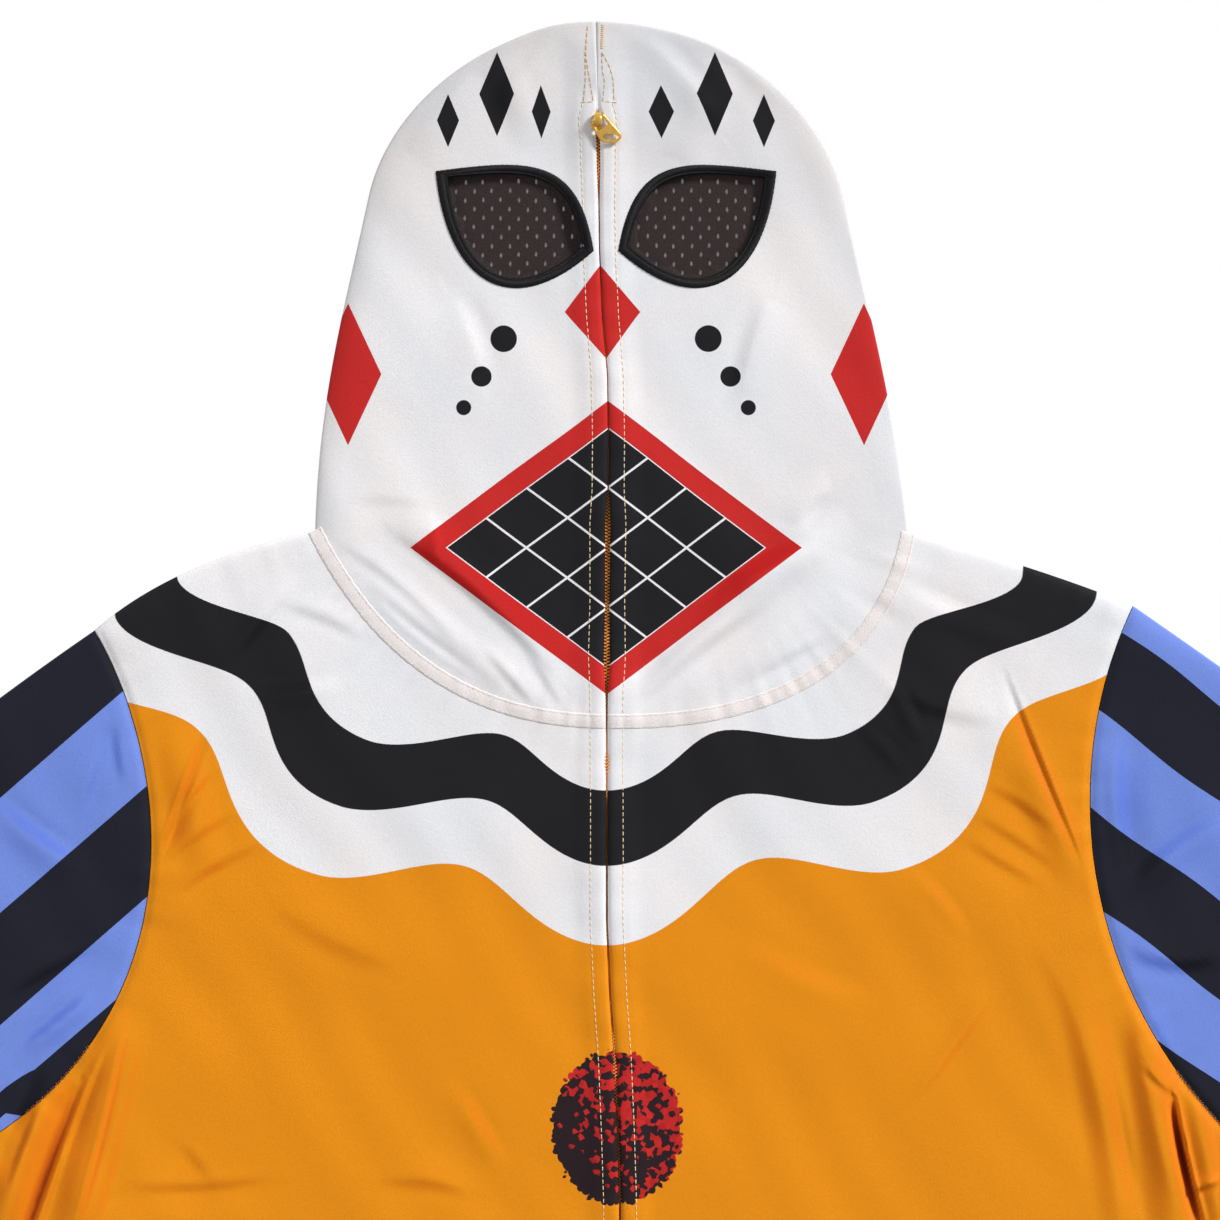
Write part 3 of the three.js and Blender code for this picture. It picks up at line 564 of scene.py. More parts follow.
def cloth_top(x, y):
    """The height of the cloth's upper face at a point of the laid garment."""
    flat_x = unleaned(x, y)
    roll = np.sqrt(1 - (1 - np.clip(edge_distance(flat_x, y) / EDGE_ROLL, 0, 1)) ** 2)
    flat = EDGE_UNDER + (FLAT_UNDER - EDGE_UNDER) * roll
    over_zip = 1 - smooth((np.abs(flat_x) - ZIP_COVER_HALF) / ZIP_COVER_FADE)
    below_top = smooth((HOOD_TOP_UP - CROWN_FALL["down"] - y) / CROWN_FALL["fade"])
    from_slider = (np.abs(y - SLIDER_UP) - SLIDER_MOUND["flat"]) / SLIDER_MOUND["fade"]
    over_slider = SLIDER_LIFT * (1 - smooth(from_slider)) * over_zip
    under = flat + (ZIP_COVER_UNDER - flat) * over_zip * below_top + over_slider
    relief = fold_height(flat_x, y) + crease_height(x, y) + undulation(x, y) + pucker_height(x, y)
    from_slit = np.abs(flat_x) - slit_half(y)
    turn = 2 * math.pi * y / ZIP_WAVE["pitch"] + 1.3 * np.sin(y / 31)
    zip_wave = ZIP_WAVE["rise"] * np.sin(turn) * np.exp(-np.abs(from_slit) / ZIP_WAVE["reach"])
    below_seam = smooth((SEAM_START_UP + SEAM_FADE["up"] - y) / SEAM_FADE["fade"])
    rolled_edge = ZIP_EDGE_ROLL["depth"] * (1 - smooth(from_slit / ZIP_EDGE_ROLL["reach"])) * below_seam
    groove = bell((from_slit - TOPSTITCH_OFF) / STITCH_GROOVE["half"])
    stitch_groove = STITCH_GROOVE["depth"] * groove * below_seam
    top = under + CLOTH + (relief + zip_wave - seam_dip(x, y)) * roll - rolled_edge - stitch_groove
    return np.maximum(top, LOWEST_TOP)


def patch(bottom, top, left, right, s, t):
    """Points [t, s] of a patch between four edge curves, s along bottom and top, t along left and right."""
    across = mix(left(t)[:, None], right(t)[:, None], s[None, :, None])
    up = mix(bottom(s)[None], top(s)[None], t[:, None, None])
    low = mix(bottom(0.0), bottom(1.0), s[:, None])
    high = mix(top(0.0), top(1.0), s[:, None])
    return across + up - mix(low[None], high[None], t[:, None, None])


def spaced(*stretches):
    """Steps along 0 to 1 from (end, count) stretches, each evenly divided."""
    steps, start = [0.0], 0.0
    for end, count in stretches:
        steps += list(np.linspace(start, end, count + 1)[1:])
        start = end
    return np.array(steps)


def grid_faces(rows, columns, closed=False):
    i = np.arange(rows - 1)[:, None]
    j = np.arange(columns if closed else columns - 1)[None, :]
    k = (j + 1) % columns
    corners = (i * columns + j, i * columns + k, (i + 1) * columns + k, (i + 1) * columns + j)
    return np.stack(np.broadcast_arrays(*corners), -1).reshape(-1, 4)


def rimmed(outer, inner, faces):
    """A sheet with thickness: its outer face, its inner one, and a rim along each open edge."""
    count = len(outer)
    start, end = faces.ravel(), np.roll(faces, -1, axis=1).ravel()
    is_open = ~np.isin(start * count + end, end * count + start)
    a, b = start[is_open], end[is_open]
    rims = np.stack([b, a, a + count, b + count], -1)
    if faces.shape[1] == 3:
        rims = np.vstack([rims[:, [0, 1, 2]], rims[:, [0, 2, 3]]])
    return np.vstack([outer, inner]), np.vstack([faces, faces[:, ::-1] + count, rims])


def volume(vertices, faces):
    corners = [vertices[faces[:, k]] for k in range(faces.shape[1])]
    fans = zip(corners[1:-1], corners[2:])
    return sum((corners[0] * np.cross(b, c)).sum() for b, c in fans)


def linked(name, data):
    """A new object with that data, linked into the scene."""
    made = bpy.data.objects.new(name, data)
    bpy.context.scene.collection.objects.link(made)
    return made


def make_object(name, vertices, faces, material, values=None):
    """A mesh object from points in millimetres and faces of one kind, with its faces turned out."""
    if volume(vertices, faces) < 0:
        faces = faces[:, ::-1]
    used, index = np.unique(faces, return_inverse=True)
    index = index.reshape(-1).astype(np.int32)
    mesh = bpy.data.meshes.new(name)
    mesh.vertices.add(len(used))
    mesh.vertices.foreach_set("co", (vertices[used] * MM).astype(np.float32).ravel())
    mesh.loops.add(len(index))
    mesh.loops.foreach_set("vertex_index", index)
    mesh.polygons.add(len(faces))
    mesh.polygons.foreach_set("loop_start", np.arange(0, len(index), faces.shape[1], dtype=np.int32))
    mesh.update(calc_edges=True)
    mesh.shade_smooth()
    for key, value in (values or {}).items():
        attribute = mesh.attributes.new(key, "FLOAT", "POINT")
        attribute.data.foreach_set("value", np.asarray(value, np.float32).ravel()[used])
    mesh.materials.append(material)
    return linked(name, mesh)


def sheet_object(name, outer, inner, material, values=None):
    """A cloth object from grids of points: its outer face with its values, and its inner face."""
    vertices, faces = rimmed(outer.reshape(-1, 3), inner.reshape(-1, 3), grid_faces(*outer.shape[:2]))
    values = {key: np.tile(value.ravel(), 2) for key, value in (values or {}).items()}
    return make_object(name, vertices, faces, material, values)


def finish_piece(piece, replaces=(), body="garment"):
    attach(piece, body)
    if replaces:
        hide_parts(*replaces)
    return piece


class Value:
    """An output socket that can be reckoned with: each operation adds a math node."""

    def __init__(self, shader, socket):
        self.shader = shader
        self.socket = socket

    def apply(self, operation, other=0.0):
        return self.shader.node("ShaderNodeMath", {0: self, 1: other}, operation=operation)

    def __add__(self, other):
        return self.apply("ADD", other)

    def __sub__(self, other):
        return self.apply("SUBTRACT", other)

    def __mul__(self, other):
        return self.apply("MULTIPLY", other)

    def __truediv__(self, other):
        return self.apply("DIVIDE", other)

    def __pow__(self, other):
        return self.apply("POWER", other)

    def __abs__(self):
        return self.apply("ABSOLUTE")

    def wave(self, pitch):
        return (self * (2 * math.pi / pitch)).apply("SINE")


class Shader:
    """One material's nodes, made by calls that return values to reckon with."""

    def __init__(self, name, roughness, specular=0.5, sheen=0.0, metallic=0.0):
        self.material = bpy.data.materials.new(name)
        self.material.use_nodes = True
        self.tree = self.material.node_tree
        self.surface = self.tree.nodes["Principled BSDF"].inputs
        self.surface["Roughness"].default_value = roughness
        self.surface["Specular IOR Level"].default_value = specular
        self.surface["Sheen Weight"].default_value = sheen
        self.surface["Sheen Roughness"].default_value = 0.4
        self.surface["Metallic"].default_value = metallic
        point = self.node("ShaderNodeTexCoord", {}, output="Object")
        # The point on the garment, in millimetres.
        self.place = self.node("ShaderNodeVectorMath", {0: point, "Scale": 1 / MM}, operation="SCALE")

    def put(self, value, socket):
        if isinstance(value, Value):
            self.tree.links.new(value.socket, socket)
        elif isinstance(value, tuple) and len(value) == 3 and len(socket.default_value) == 4:
            socket.default_value = (*value, 1)
        else:
            socket.default_value = value

    def node(self, kind, inputs, output=0, **settings):
        made = self.tree.nodes.new(kind)
        for key, value in settings.items():
            setattr(made, key, value)
        for key, value in inputs.items():
            self.put(value, made.inputs[key])
        return Value(self, made.outputs[output])

    def attribute(self, name):
        return self.node("ShaderNodeAttribute", {}, output="Fac", attribute_name=name)

    def parts(self, vector):
        made = self.tree.nodes.new("ShaderNodeSeparateXYZ")
        self.put(vector, made.inputs[0])
        return [Value(self, output) for output in made.outputs]

    def noise(self, size, detail=2.0):
        inputs = {"Vector": self.place, "Scale": 1 / size, "Detail": detail}
        return self.node("ShaderNodeTexNoise", inputs)

    def cells(self, size, output):
        return self.node("ShaderNodeTexVoronoi", {"Vector": self.place, "Scale": 1 / size}, output)

    def ramp(self, value, low, high, to_low=0.0, to_high=1.0):
        inputs = {"Value": value, "From Min": low, "From Max": high, "To Min": to_low, "To Max": to_high}
        return self.node("ShaderNodeMapRange", inputs)

    def below(self, value, limit=0.0, blur=0.12):
        """1 where the value is under the limit, 0 over it, with a short blur between."""
        return self.ramp(value, limit - blur, limit + blur, 1.0, 0.0)

    def blend(self, share, a, b, **settings):
        return self.node("ShaderNodeMix", {0: share, 6: a, 7: b}, 2, data_type="RGBA", **settings)

    def shaded(self, colour, shade):
        """A colour made lighter or darker by a grey factor."""
        grey = self.node("ShaderNodeCombineColor", {0: shade, 1: shade, 2: shade})
        return self.blend(1.0, colour, grey, blend_type="MULTIPLY")

    def bump(self, height, distance):
        return self.node("ShaderNodeBump", {"Height": height, "Distance": distance * MM, "Strength": 1.0})

    def finish(self, colour, normal=None, roughness=None):
        self.put(colour, self.surface["Base Color"])
        if normal:
            self.put(normal, self.surface["Normal"])
        if roughness:
            self.put(roughness, self.surface["Roughness"])
        return self.material


KNIT_PITCH = 0.9
LOOP_PITCH = KNIT_PITCH * 1.3


def knit(shader):
    """The surface of a smooth polyester knit: fine upright ribs broken by a small grain."""
    x, y, _ = shader.parts(shader.place)
    grain = shader.noise(0.9, 3.0)
    slub = shader.noise(7.0)
    height = x.wave(KNIT_PITCH) * y.wave(LOOP_PITCH) * 0.25 + grain + slub
    return shader.bump(height, 0.09), shader.ramp(grain, 0.3, 0.7, 0.955, 1.03)


def white_cloth(shader):
    """White that drifts from a faint pink to a faint blue, as thin cloth over other layers does."""
    return shader.blend(shader.ramp(shader.noise(62.0), 0.38, 0.62), WARM_WHITE, COOL_WHITE)


def cloth_shader(name):
    return Shader(name, roughness=0.7, specular=0.18, sheen=0.05)


# Painted shade from the crease shade: a gamma that deepens the hue, then, past HUE_ONLY, a darkening down to
# the darkest shade.
CREASE_SHADE_GAMMA = 0.45
CREASE_SHADE_DARKEN = 0.3
DARKEST_SHADE = 0.05
HUE_ONLY = 0.4


def dressed(shader, colour, painted_shade=1.0):
    """A cloth's finished material: its colour, painted deeper and darker as shade in its creases and on their
    steep flanks and darkened by any further painted shade given, and its knit.
    """
    # Painted shade in creases: a deeper hue, then a darker colour.
    crease_shade = shader.attribute("crease_shade")
    deeper = shader.node("ShaderNodeGamma", {0: colour, 1: crease_shade * CREASE_SHADE_GAMMA + 1.0})
    darkest_at = HUE_ONLY + (1 - DARKEST_SHADE) / CREASE_SHADE_DARKEN
    darker = shader.ramp(crease_shade, HUE_ONLY, darkest_at, 1.0, DARKEST_SHADE)
    normal, shade = knit(shader)
    return shader.finish(shader.shaded(deeper, shade * darker * painted_shade), normal)


# The collar's waves: each edge is a ring about the collar's centre, drawn as shares of the collar's half
# width and height, that eases from one [angle from straight down, radius] to the next.
COLLAR_CENTRE_UP = 268.5
COLLAR_HALF_WIDTH = 193.5
COLLAR_HALF_HEIGHT = 105.75
COLLAR_EDGES = {
    "black_from": {
        "left": ((0, 0.98), (18.5, 0.78), (36, 0.946), (67, 0.8), (86, 1.0)),
        "right": ((0, 0.98), (20, 0.773), (37, 0.928), (68, 0.773), (86, 0.97)),
    },
    "black_to": {
        "left": ((0, 1.3), (16, 1.057), (30.5, 1.216), (58, 0.987), (78, 1.167), (89, 1.0)),
        "right": ((0, 1.3), (17.5, 1.046), (31, 1.203), (61, 0.957), (82, 1.15)),
    },
    "orange_from": {
        "left": ((0, 1.638), (15, 1.34), (26.5, 1.497), (54, 1.19), (70, 1.36)),
        "right": ((0, 1.638), (16, 1.32), (27.5, 1.484), (56, 1.157), (71, 1.28)),
    },
}


def eased_radius(rows, angle):
    at, radius = np.array(rows, float).T
    k = np.clip(np.searchsorted(at, angle, side="right") - 1, 0, len(at) - 2)
    share = np.clip((angle - at[k]) / (at[k + 1] - at[k]), 0, 1)
    return mix(radius[k], radius[k + 1], 0.5 - 0.5 * np.cos(math.pi * share))


def collar_values(x, y):
    """How far outside each of the collar's edges a point lies, negative inside."""
    u, v = x / COLLAR_HALF_WIDTH, (COLLAR_CENTRE_UP - y) / COLLAR_HALF_HEIGHT
    angle = np.degrees(np.arctan2(np.abs(u), v))
    values = {}
    for name, edge in COLLAR_EDGES.items():
        radius = np.where(x < 0, eased_radius(edge["left"], angle), eased_radius(edge["right"], angle))
        values[name] = (np.hypot(u, v) - radius) * COLLAR_HALF_HEIGHT
    return values


# Each pompom's print: red and dark tufts of yarn in an oval with a ragged edge, redder towards the light.
POMPOMS = ((5, 13), (7, -140), (7, -293))
POMPOM_HALF_WIDTH = 30
POMPOM_HALF_HEIGHT = 35
YARN_SIZE = 2.3
RAG_SIZE = 2.8
RAG_REACH = 0.13
LIGHT_ACROSS = 0.011
LIGHT_UP = 0.009
YARN_RED = (0.42, 0.012, 0.012)
YARN_DARK = (0.02, 0.009, 0.012)


def body_material():
    shader = cloth_shader("body_cloth")
    x, y, _ = shader.parts(shader.place)
    white = white_cloth(shader)
    colour = ORANGE
    for name, ink in (("orange_from", white), ("black_to", BLACK), ("black_from", white)):
        colour = shader.blend(shader.below(shader.attribute(name)), colour, ink)
    tuft, other, _ = shader.parts(shader.cells(YARN_SIZE, "Color"))
    ragged = shader.cells(RAG_SIZE, "Distance")
    for centre_x, centre_y in POMPOMS:
        dx, dy = x - centre_x, y - centre_y
        radius = ((dx / POMPOM_HALF_WIDTH) ** 2 + (dy / POMPOM_HALF_HEIGHT) ** 2).apply("SQRT")
        inside = shader.below(radius + ragged * RAG_REACH, 1.05, 0.004)
        is_red = shader.below(tuft - (dx * LIGHT_ACROSS + dy * LIGHT_UP), 0.34, 0.01)
        pompom = shader.blend(is_red, YARN_DARK, shader.blend(other, YARN_RED, RED))
        colour = shader.blend(inside, colour, pompom)
    return dressed(shader, colour)


# Stripes run along each sleeve. Edges are distances across it from its top line, and the first ink is the
# one along that line. Near the left armhole the lower stripes droop.
STRIPES = {
    "left": dict(inks=(SLEEVE_BLACK, BLUE), edges=(30, 67.4, 106.8, 132, 147.5, 181, 215), droop=9.5),
    "right": dict(inks=(BLUE, SLEEVE_BLACK), edges=(12.5, 47.6, 84, 118.5, 149.7, 185, 220), droop=0),
}
STRIPE_WANDER = 0.9
STRIPE_WANDER_TURN = 0.055
DROOP_FROM, DROOP_TO = -257, -270
DROOP_BELOW, DROOP_WHOLE = 127, 138


def sleeve_material(name):
    side, stripes = SIDES[name], STRIPES[name]
    shader = cloth_shader(f"sleeve_cloth_{name}")
    x, y, _ = shader.parts(shader.place)
    angle = math.radians(side["sleeve_angle"])
    out, up = side["shoulder"]
    across_x = (x - side["sign"] * out) * (-side["sign"] * math.sin(angle))
    across = across_x + (y - up) * -math.cos(angle)
    across = across + ((x - y) * STRIPE_WANDER_TURN).apply("SINE") * STRIPE_WANDER
    droop = shader.ramp(x, DROOP_FROM, DROOP_TO, 0.0, stripes["droop"])
    across = across + droop * shader.ramp(across, DROOP_BELOW, DROOP_WHOLE)
    colour = stripes["inks"][0]
    for i, edge in enumerate(stripes["edges"]):
        colour = shader.blend(shader.below(across, edge), stripes["inks"][(i + 1) % 2], colour)
    return dressed(shader, colour)


# The hood's print is a harlequin set of lozenges and dots, the same on both halves.
# Each row is [how far out, how far up, half width, half height].
RED_LOZENGES = ((0, 274, 88, 66), (0, 380, 17, 21), (116, 352, 15, 32))
BLACK_LOZENGES = ((0, 274, 72, 54), (49, 478, 8, 19), (27, 470, 5, 12), (71, 466, 5, 12))
BLACK_DOTS = ((46, 368, 6.0), (56, 351, 4.6), (64, 337, 3.4))
# Painted shade on the hood: the colour darkens towards the crown, and near the rolled edge where the cloth
# turns under.
CROWN_PAINTED_SHADE = 0.86
EDGE_TURN_PAINTED_SHADE = 0.16
TURN_REACH = 9
ARGYLE_PITCH = 0.5
ARGYLE_LINE = 0.022


def lozenge(shader, x, y, row):
    out, up, half_width, half_height = row
    away = abs(x - out) / half_width + abs(y - up) / half_height
    return shader.below(away, 1.0, 0.1 / half_width)


def argyle(shader, x, y, row):
    """Thin crossing lines inside a lozenge, level with its sides."""
    out, up, half_width, half_height = row
    across, along = (x - out) / half_width, (y - up) / half_height
    lines = []
    for value in (across + along, across - along):
        turns = value / ARGYLE_PITCH
        lines.append(shader.below(abs(turns - turns.apply("ROUND")), ARGYLE_LINE, 0.004))
    return lines[0].apply("MAXIMUM", lines[1])


def hood_material():
    shader = cloth_shader("hood_cloth")
    _, y, _ = shader.parts(shader.place)
    x = shader.attribute("out")
    front = shader.attribute("front")
    white = white_cloth(shader)
    colour = white
    for rows, ink in ((RED_LOZENGES, RED), (BLACK_LOZENGES, BLACK)):
        for row in rows:
            colour = shader.blend(lozenge(shader, x, y, row) * front, colour, ink)
    large = BLACK_LOZENGES[0]
    in_large = lozenge(shader, x, y, large) * front
    colour = shader.blend(argyle(shader, x, y, large) * in_large, colour, white)
    for out, up, radius in BLACK_DOTS:
        away = ((x - out) ** 2 + (y - up) ** 2).apply("SQRT")
        colour = shader.blend(shader.below(away, radius) * front, colour, BLACK)
    # The crown and edge darkening passed to dressed is painted shade.
    return dressed(shader, colour, shader.ramp(y, 395, 500, 1.0, CROWN_PAINTED_SHADE) * shader.attribute("turned"))


def grained(shader, colour, size, detail, shades, depth):
    """A finished material whose fine grain shows in its colour and its surface."""
    grain = shader.noise(size, detail)
    shaded = shader.shaded(colour, shader.ramp(grain, 0.3, 0.7, *shades))
    return shader.finish(shaded, shader.bump(grain, depth))


def plain_cloth(name, colour):
    return grained(Shader(name, roughness=0.8, specular=0.2, sheen=0.2), colour, 0.6, 4.0, (0.88, 1.06), 0.12)


def thread_material(name, colour, roughness=0.5):
    return grained(Shader(name, roughness, specular=0.4, sheen=0.15), colour, 0.3, 2.0, (0.8, 1.1), 0.05)


def net_material():
    shader = Shader("eye_net", roughness=0.65, specular=0.3, sheen=0.15)
    speckle = shader.noise(0.5, 4.0)
    colour = shader.blend(shader.ramp(speckle, 0.35, 0.75), (0.01, 0.005, 0.005), (0.052, 0.028, 0.028))
    return shader.finish(colour, shader.bump(speckle + shader.noise(3.0), 0.12))


def satin_material():
    """Dense satin stitch, its threads lying across the border."""
    shader = Shader("eye_border", roughness=0.55, specular=0.2)
    wander = shader.noise(1.2, 3.0)
    height = shader.attribute("along").wave(0.55) * 0.35 + wander
    colour = shader.blend(shader.ramp(wander, 0.35, 0.7), (0.003, 0.003, 0.004), (0.009, 0.009, 0.011))
    return shader.finish(colour, shader.bump(height, 0.14))


def woven_material(name, colour, pitch):
    shader = Shader(name, roughness=0.7, specular=0.3, sheen=0.1)
    x, y, _ = shader.parts(shader.place)
    twill = (x + y).wave(pitch)
    grain = shader.noise(0.7, 3.0)
    shade = shader.ramp(twill * 0.15 + grain, 0.2, 0.8, 0.75, 1.1)
    return shader.finish(shader.shaded(colour, shade), shader.bump(twill + grain, 0.1))


def coil_material():
    """The zip's chain: painted highlight on top of each bead and painted shade lower down between the beads.
    """
    shader = Shader("zip_chain", roughness=0.4, specular=0.35, sheen=0.1)
    _, _, height = shader.parts(shader.place)
    # Painted highlight and shade: the colour brightens with height on the beads and darkens low between them.
    shade = shader.ramp(height, CHAIN_TOP - 0.75, CHAIN_TOP - 0.1, 0.12, 1.4)
    return shader.finish(shader.shaded(CHAIN_BROWN, shade))


def metal_material():
    shader = Shader("zip_metal", roughness=0.3, metallic=0.6)
    haze = shader.noise(1.5, 3.0)
    colour = shader.blend(shader.ramp(haze, 0.3, 0.7), (0.86, 0.47, 0.075), (0.95, 0.6, 0.14))
    return shader.finish(colour, shader.bump(haze, 0.02), shader.ramp(haze, 0.3, 0.7, 0.18, 0.32))


def on_cloth(xy, rise=0.0):
    """Points of the laid garment with their height: the cloth's upper face, or a rise over it."""
    x, y = xy[..., 0], xy[..., 1]
    return np.stack([x, y, cloth_top(x, y) + rise], -1)


def front_panel(name, material):
    side, lines = SIDES[name], LINES[name]
    columns = spaced((0.04, 10), (0.68, 78), (1, 92))
    rows = spaced((0.53, 44), (0.58, 22), (0.7, 66), (1, 106))
    neck_share = 1 - SHOULDER_SHARE
    top = joined(lines["neck_front"], lines["shoulder"], neck_share)
    outside = joined(lines["side_seam"], lambda t: lines["armhole"](1 - t), SIDE_SHARE)
    grid = patch(lines["hem"], top, upright(HEM_UP, NECK_FRONT_UP), outside, columns, rows)
    grid = opened(side["sign"], grid)
    x, y = grid[..., 0], grid[..., 1]
    outer = on_cloth(grid)
    values = collar_values(x, y) | {"crease_shade": painted_crease_shade(x, y)}
    piece = sheet_object(f"front_{name}_cloth", outer, outer - [0, 0, SHELL], material, values)
    return finish_piece(piece, [f"front_{name}"])


BACK_THICK = 1.1


def back_panel(material):
    half_columns = spaced((1, 56))
    rows = spaced((0.55, 36), (1, 44))
    halves = []
    for name in ("left", "right"):
        lines = LINES[name]
        top = joined(lines["neck_back"], lines["shoulder"], 1 - SHOULDER_SHARE)
        outside = joined(lines["side_seam"], lambda t, a=lines["armhole"]: a(1 - t), SIDE_SHARE)
        centre = upright(HEM_UP, NECK_BACK_UP)
        halves.append(patch(lines["hem"], top, centre, outside, half_columns, rows))
    grid = leaned(np.concatenate([halves[0][:, :0:-1], halves[1]], 1))
    outer, inner = level(grid, 0.0), level(grid, BACK_THICK)
    piece = sheet_object("back_cloth", outer, inner, material, collar_values(grid[..., 0], grid[..., 1]))
    return finish_piece(piece, ["back_panel"])


FOLD_ANGLES = np.radians((60, 30, 0, -30, -60))


def drawn_in(grid, edge, inward, reach):
    """Points moved in from an edge, those on it by the whole reach and those farther in by less."""
    away = np.linalg.norm(grid - edge, axis=-1, keepdims=True)
    return grid + inward * reach * np.clip(1 - away / FOLD_FADE, 0, 1)


def fold_points(edge, inward, top, inset):
    """The turn from the upper layer to the lower one: [row, angle, 3], going down."""
    base = edge + inward * (FOLD_REACH + inset)
    xy = base[:, None] - inward[:, None] * (FOLD_REACH * np.cos(FOLD_ANGLES))[None, :, None]
    middle, half = top / 2, top / 2 - inset
    z = middle[:, None] + half[:, None] * np.sin(FOLD_ANGLES)[None]
    return np.concatenate([xy, z[..., None]], -1)


def edge_height(edge, inward):
    p = leaned(edge + inward * FOLD_REACH)
    return cloth_top(p[:, 0], p[:, 1])


def sleeve(name, material):
    side, lines = SIDES[name], LINES[name]
    gap = side["sign"] * SEAM_GAP
    start = beside(lines["armhole"], gap)
    top = started_at(lines["sleeve_top"], start(0.0))
    low = started_at(lines["sleeve_low"], start(1.0))
    rows = spaced((0.26, 74), (1, 92))
    front_columns, back_columns = spaced((1, 84)), spaced((1, 40))

    def surface(v):
        return patch(top, low, start, lines["cuff"], rows, v).transpose(1, 0, 2)

    front, back = surface(front_columns), surface(back_columns)
    top_edge, low_edge = front[:, 0], front[:, -1]
    top_inward, low_inward = unit(front[:, 8] - top_edge), unit(front[:, -9] - low_edge)
    heights = edge_height(top_edge, top_inward), edge_height(low_edge, low_inward)

    def ring(inset):
        def drawn(grid):
            reach = FOLD_REACH + inset
            grid = drawn_in(grid, top_edge[:, None], top_inward[:, None], reach)
            return drawn_in(grid, low_edge[:, None], low_inward[:, None], reach)

        face = on_cloth(drawn(front), -inset)
        under = level(drawn(back)[:, ::-1], inset)
        low_fold = fold_points(low_edge, low_inward, heights[1], inset)
        top_fold = fold_points(top_edge, top_inward, heights[0], inset)[:, ::-1]
        return np.concatenate([face, low_fold, under, top_fold], 1)

    outer, inner = ring(0.0), ring(SHELL)
    faces = grid_faces(*outer.shape[:2], closed=True)
    vertices, faces = rimmed(outer.reshape(-1, 3), inner.reshape(-1, 3), faces)
    values = {"crease_shade": upper_painted_crease_shade(vertices)}
    piece = make_object(f"sleeve_{name}_cloth", vertices, faces, material, values)
    return finish_piece(piece, [f"sleeve_{name}"])


def eye_leaf(sign, grow, steps=40):
    """The closed leaf of an eye window as points, its border grown, or shrunk where grow is negative."""
    outer, inner = (np.array(EYE[key], float) for key in ("outer_corner", "inner_corner"))
    length = np.linalg.norm(inner - outer)
    dx, dy = (inner - outer) / length
    first, last = -EYE["outer_reach"] * grow, length + EYE["inner_reach"] * grow

    def half(pulls, height, up):
        stretched = [
            (mix(first, last, along / length), up * off * (height + grow) / height) for along, off in pulls
        ]
        return cubic((first, 0), *stretched, (last, 0))(np.linspace(0, 1, steps + 1))

    upper = half(EYE["upper_pulls"], EYE["upper_height"], 1)
    lower = half(EYE["lower_pulls"], EYE["lower_height"], -1)[::-1]
    along, off = np.concatenate([upper[1:], lower[1:]]).T
    return np.stack([sign * (outer[0] + dx * along + dy * off), outer[1] + dy * along - dx * off], -1)


def inside(loop, x, y):
    """True where a point is inside a closed loop."""
    result = np.zeros(np.shape(x), bool)
    for (x0, y0), (x1, y1) in zip(loop, np.roll(loop, -1, axis=0)):
        if y0 != y1:
            crosses = (y0 > y) != (y1 > y)
            result ^= crosses & (x < x0 + (y - y0) * (x1 - x0) / (y1 - y0))
    return result


def pulled_to(loop, p):
    """The nearest point of a closed loop to each point."""
    start, run = loop, np.roll(loop, -1, axis=0) - loop
    d = p[:, None] - start
    t = np.clip((d * run).sum(-1) / (run**2).sum(-1), 0, 1)
    spots = start + t[..., None] * run
    k = np.linalg.norm(p[:, None] - spots, axis=-1).argmin(1)
    return spots[np.arange(len(k)), k]


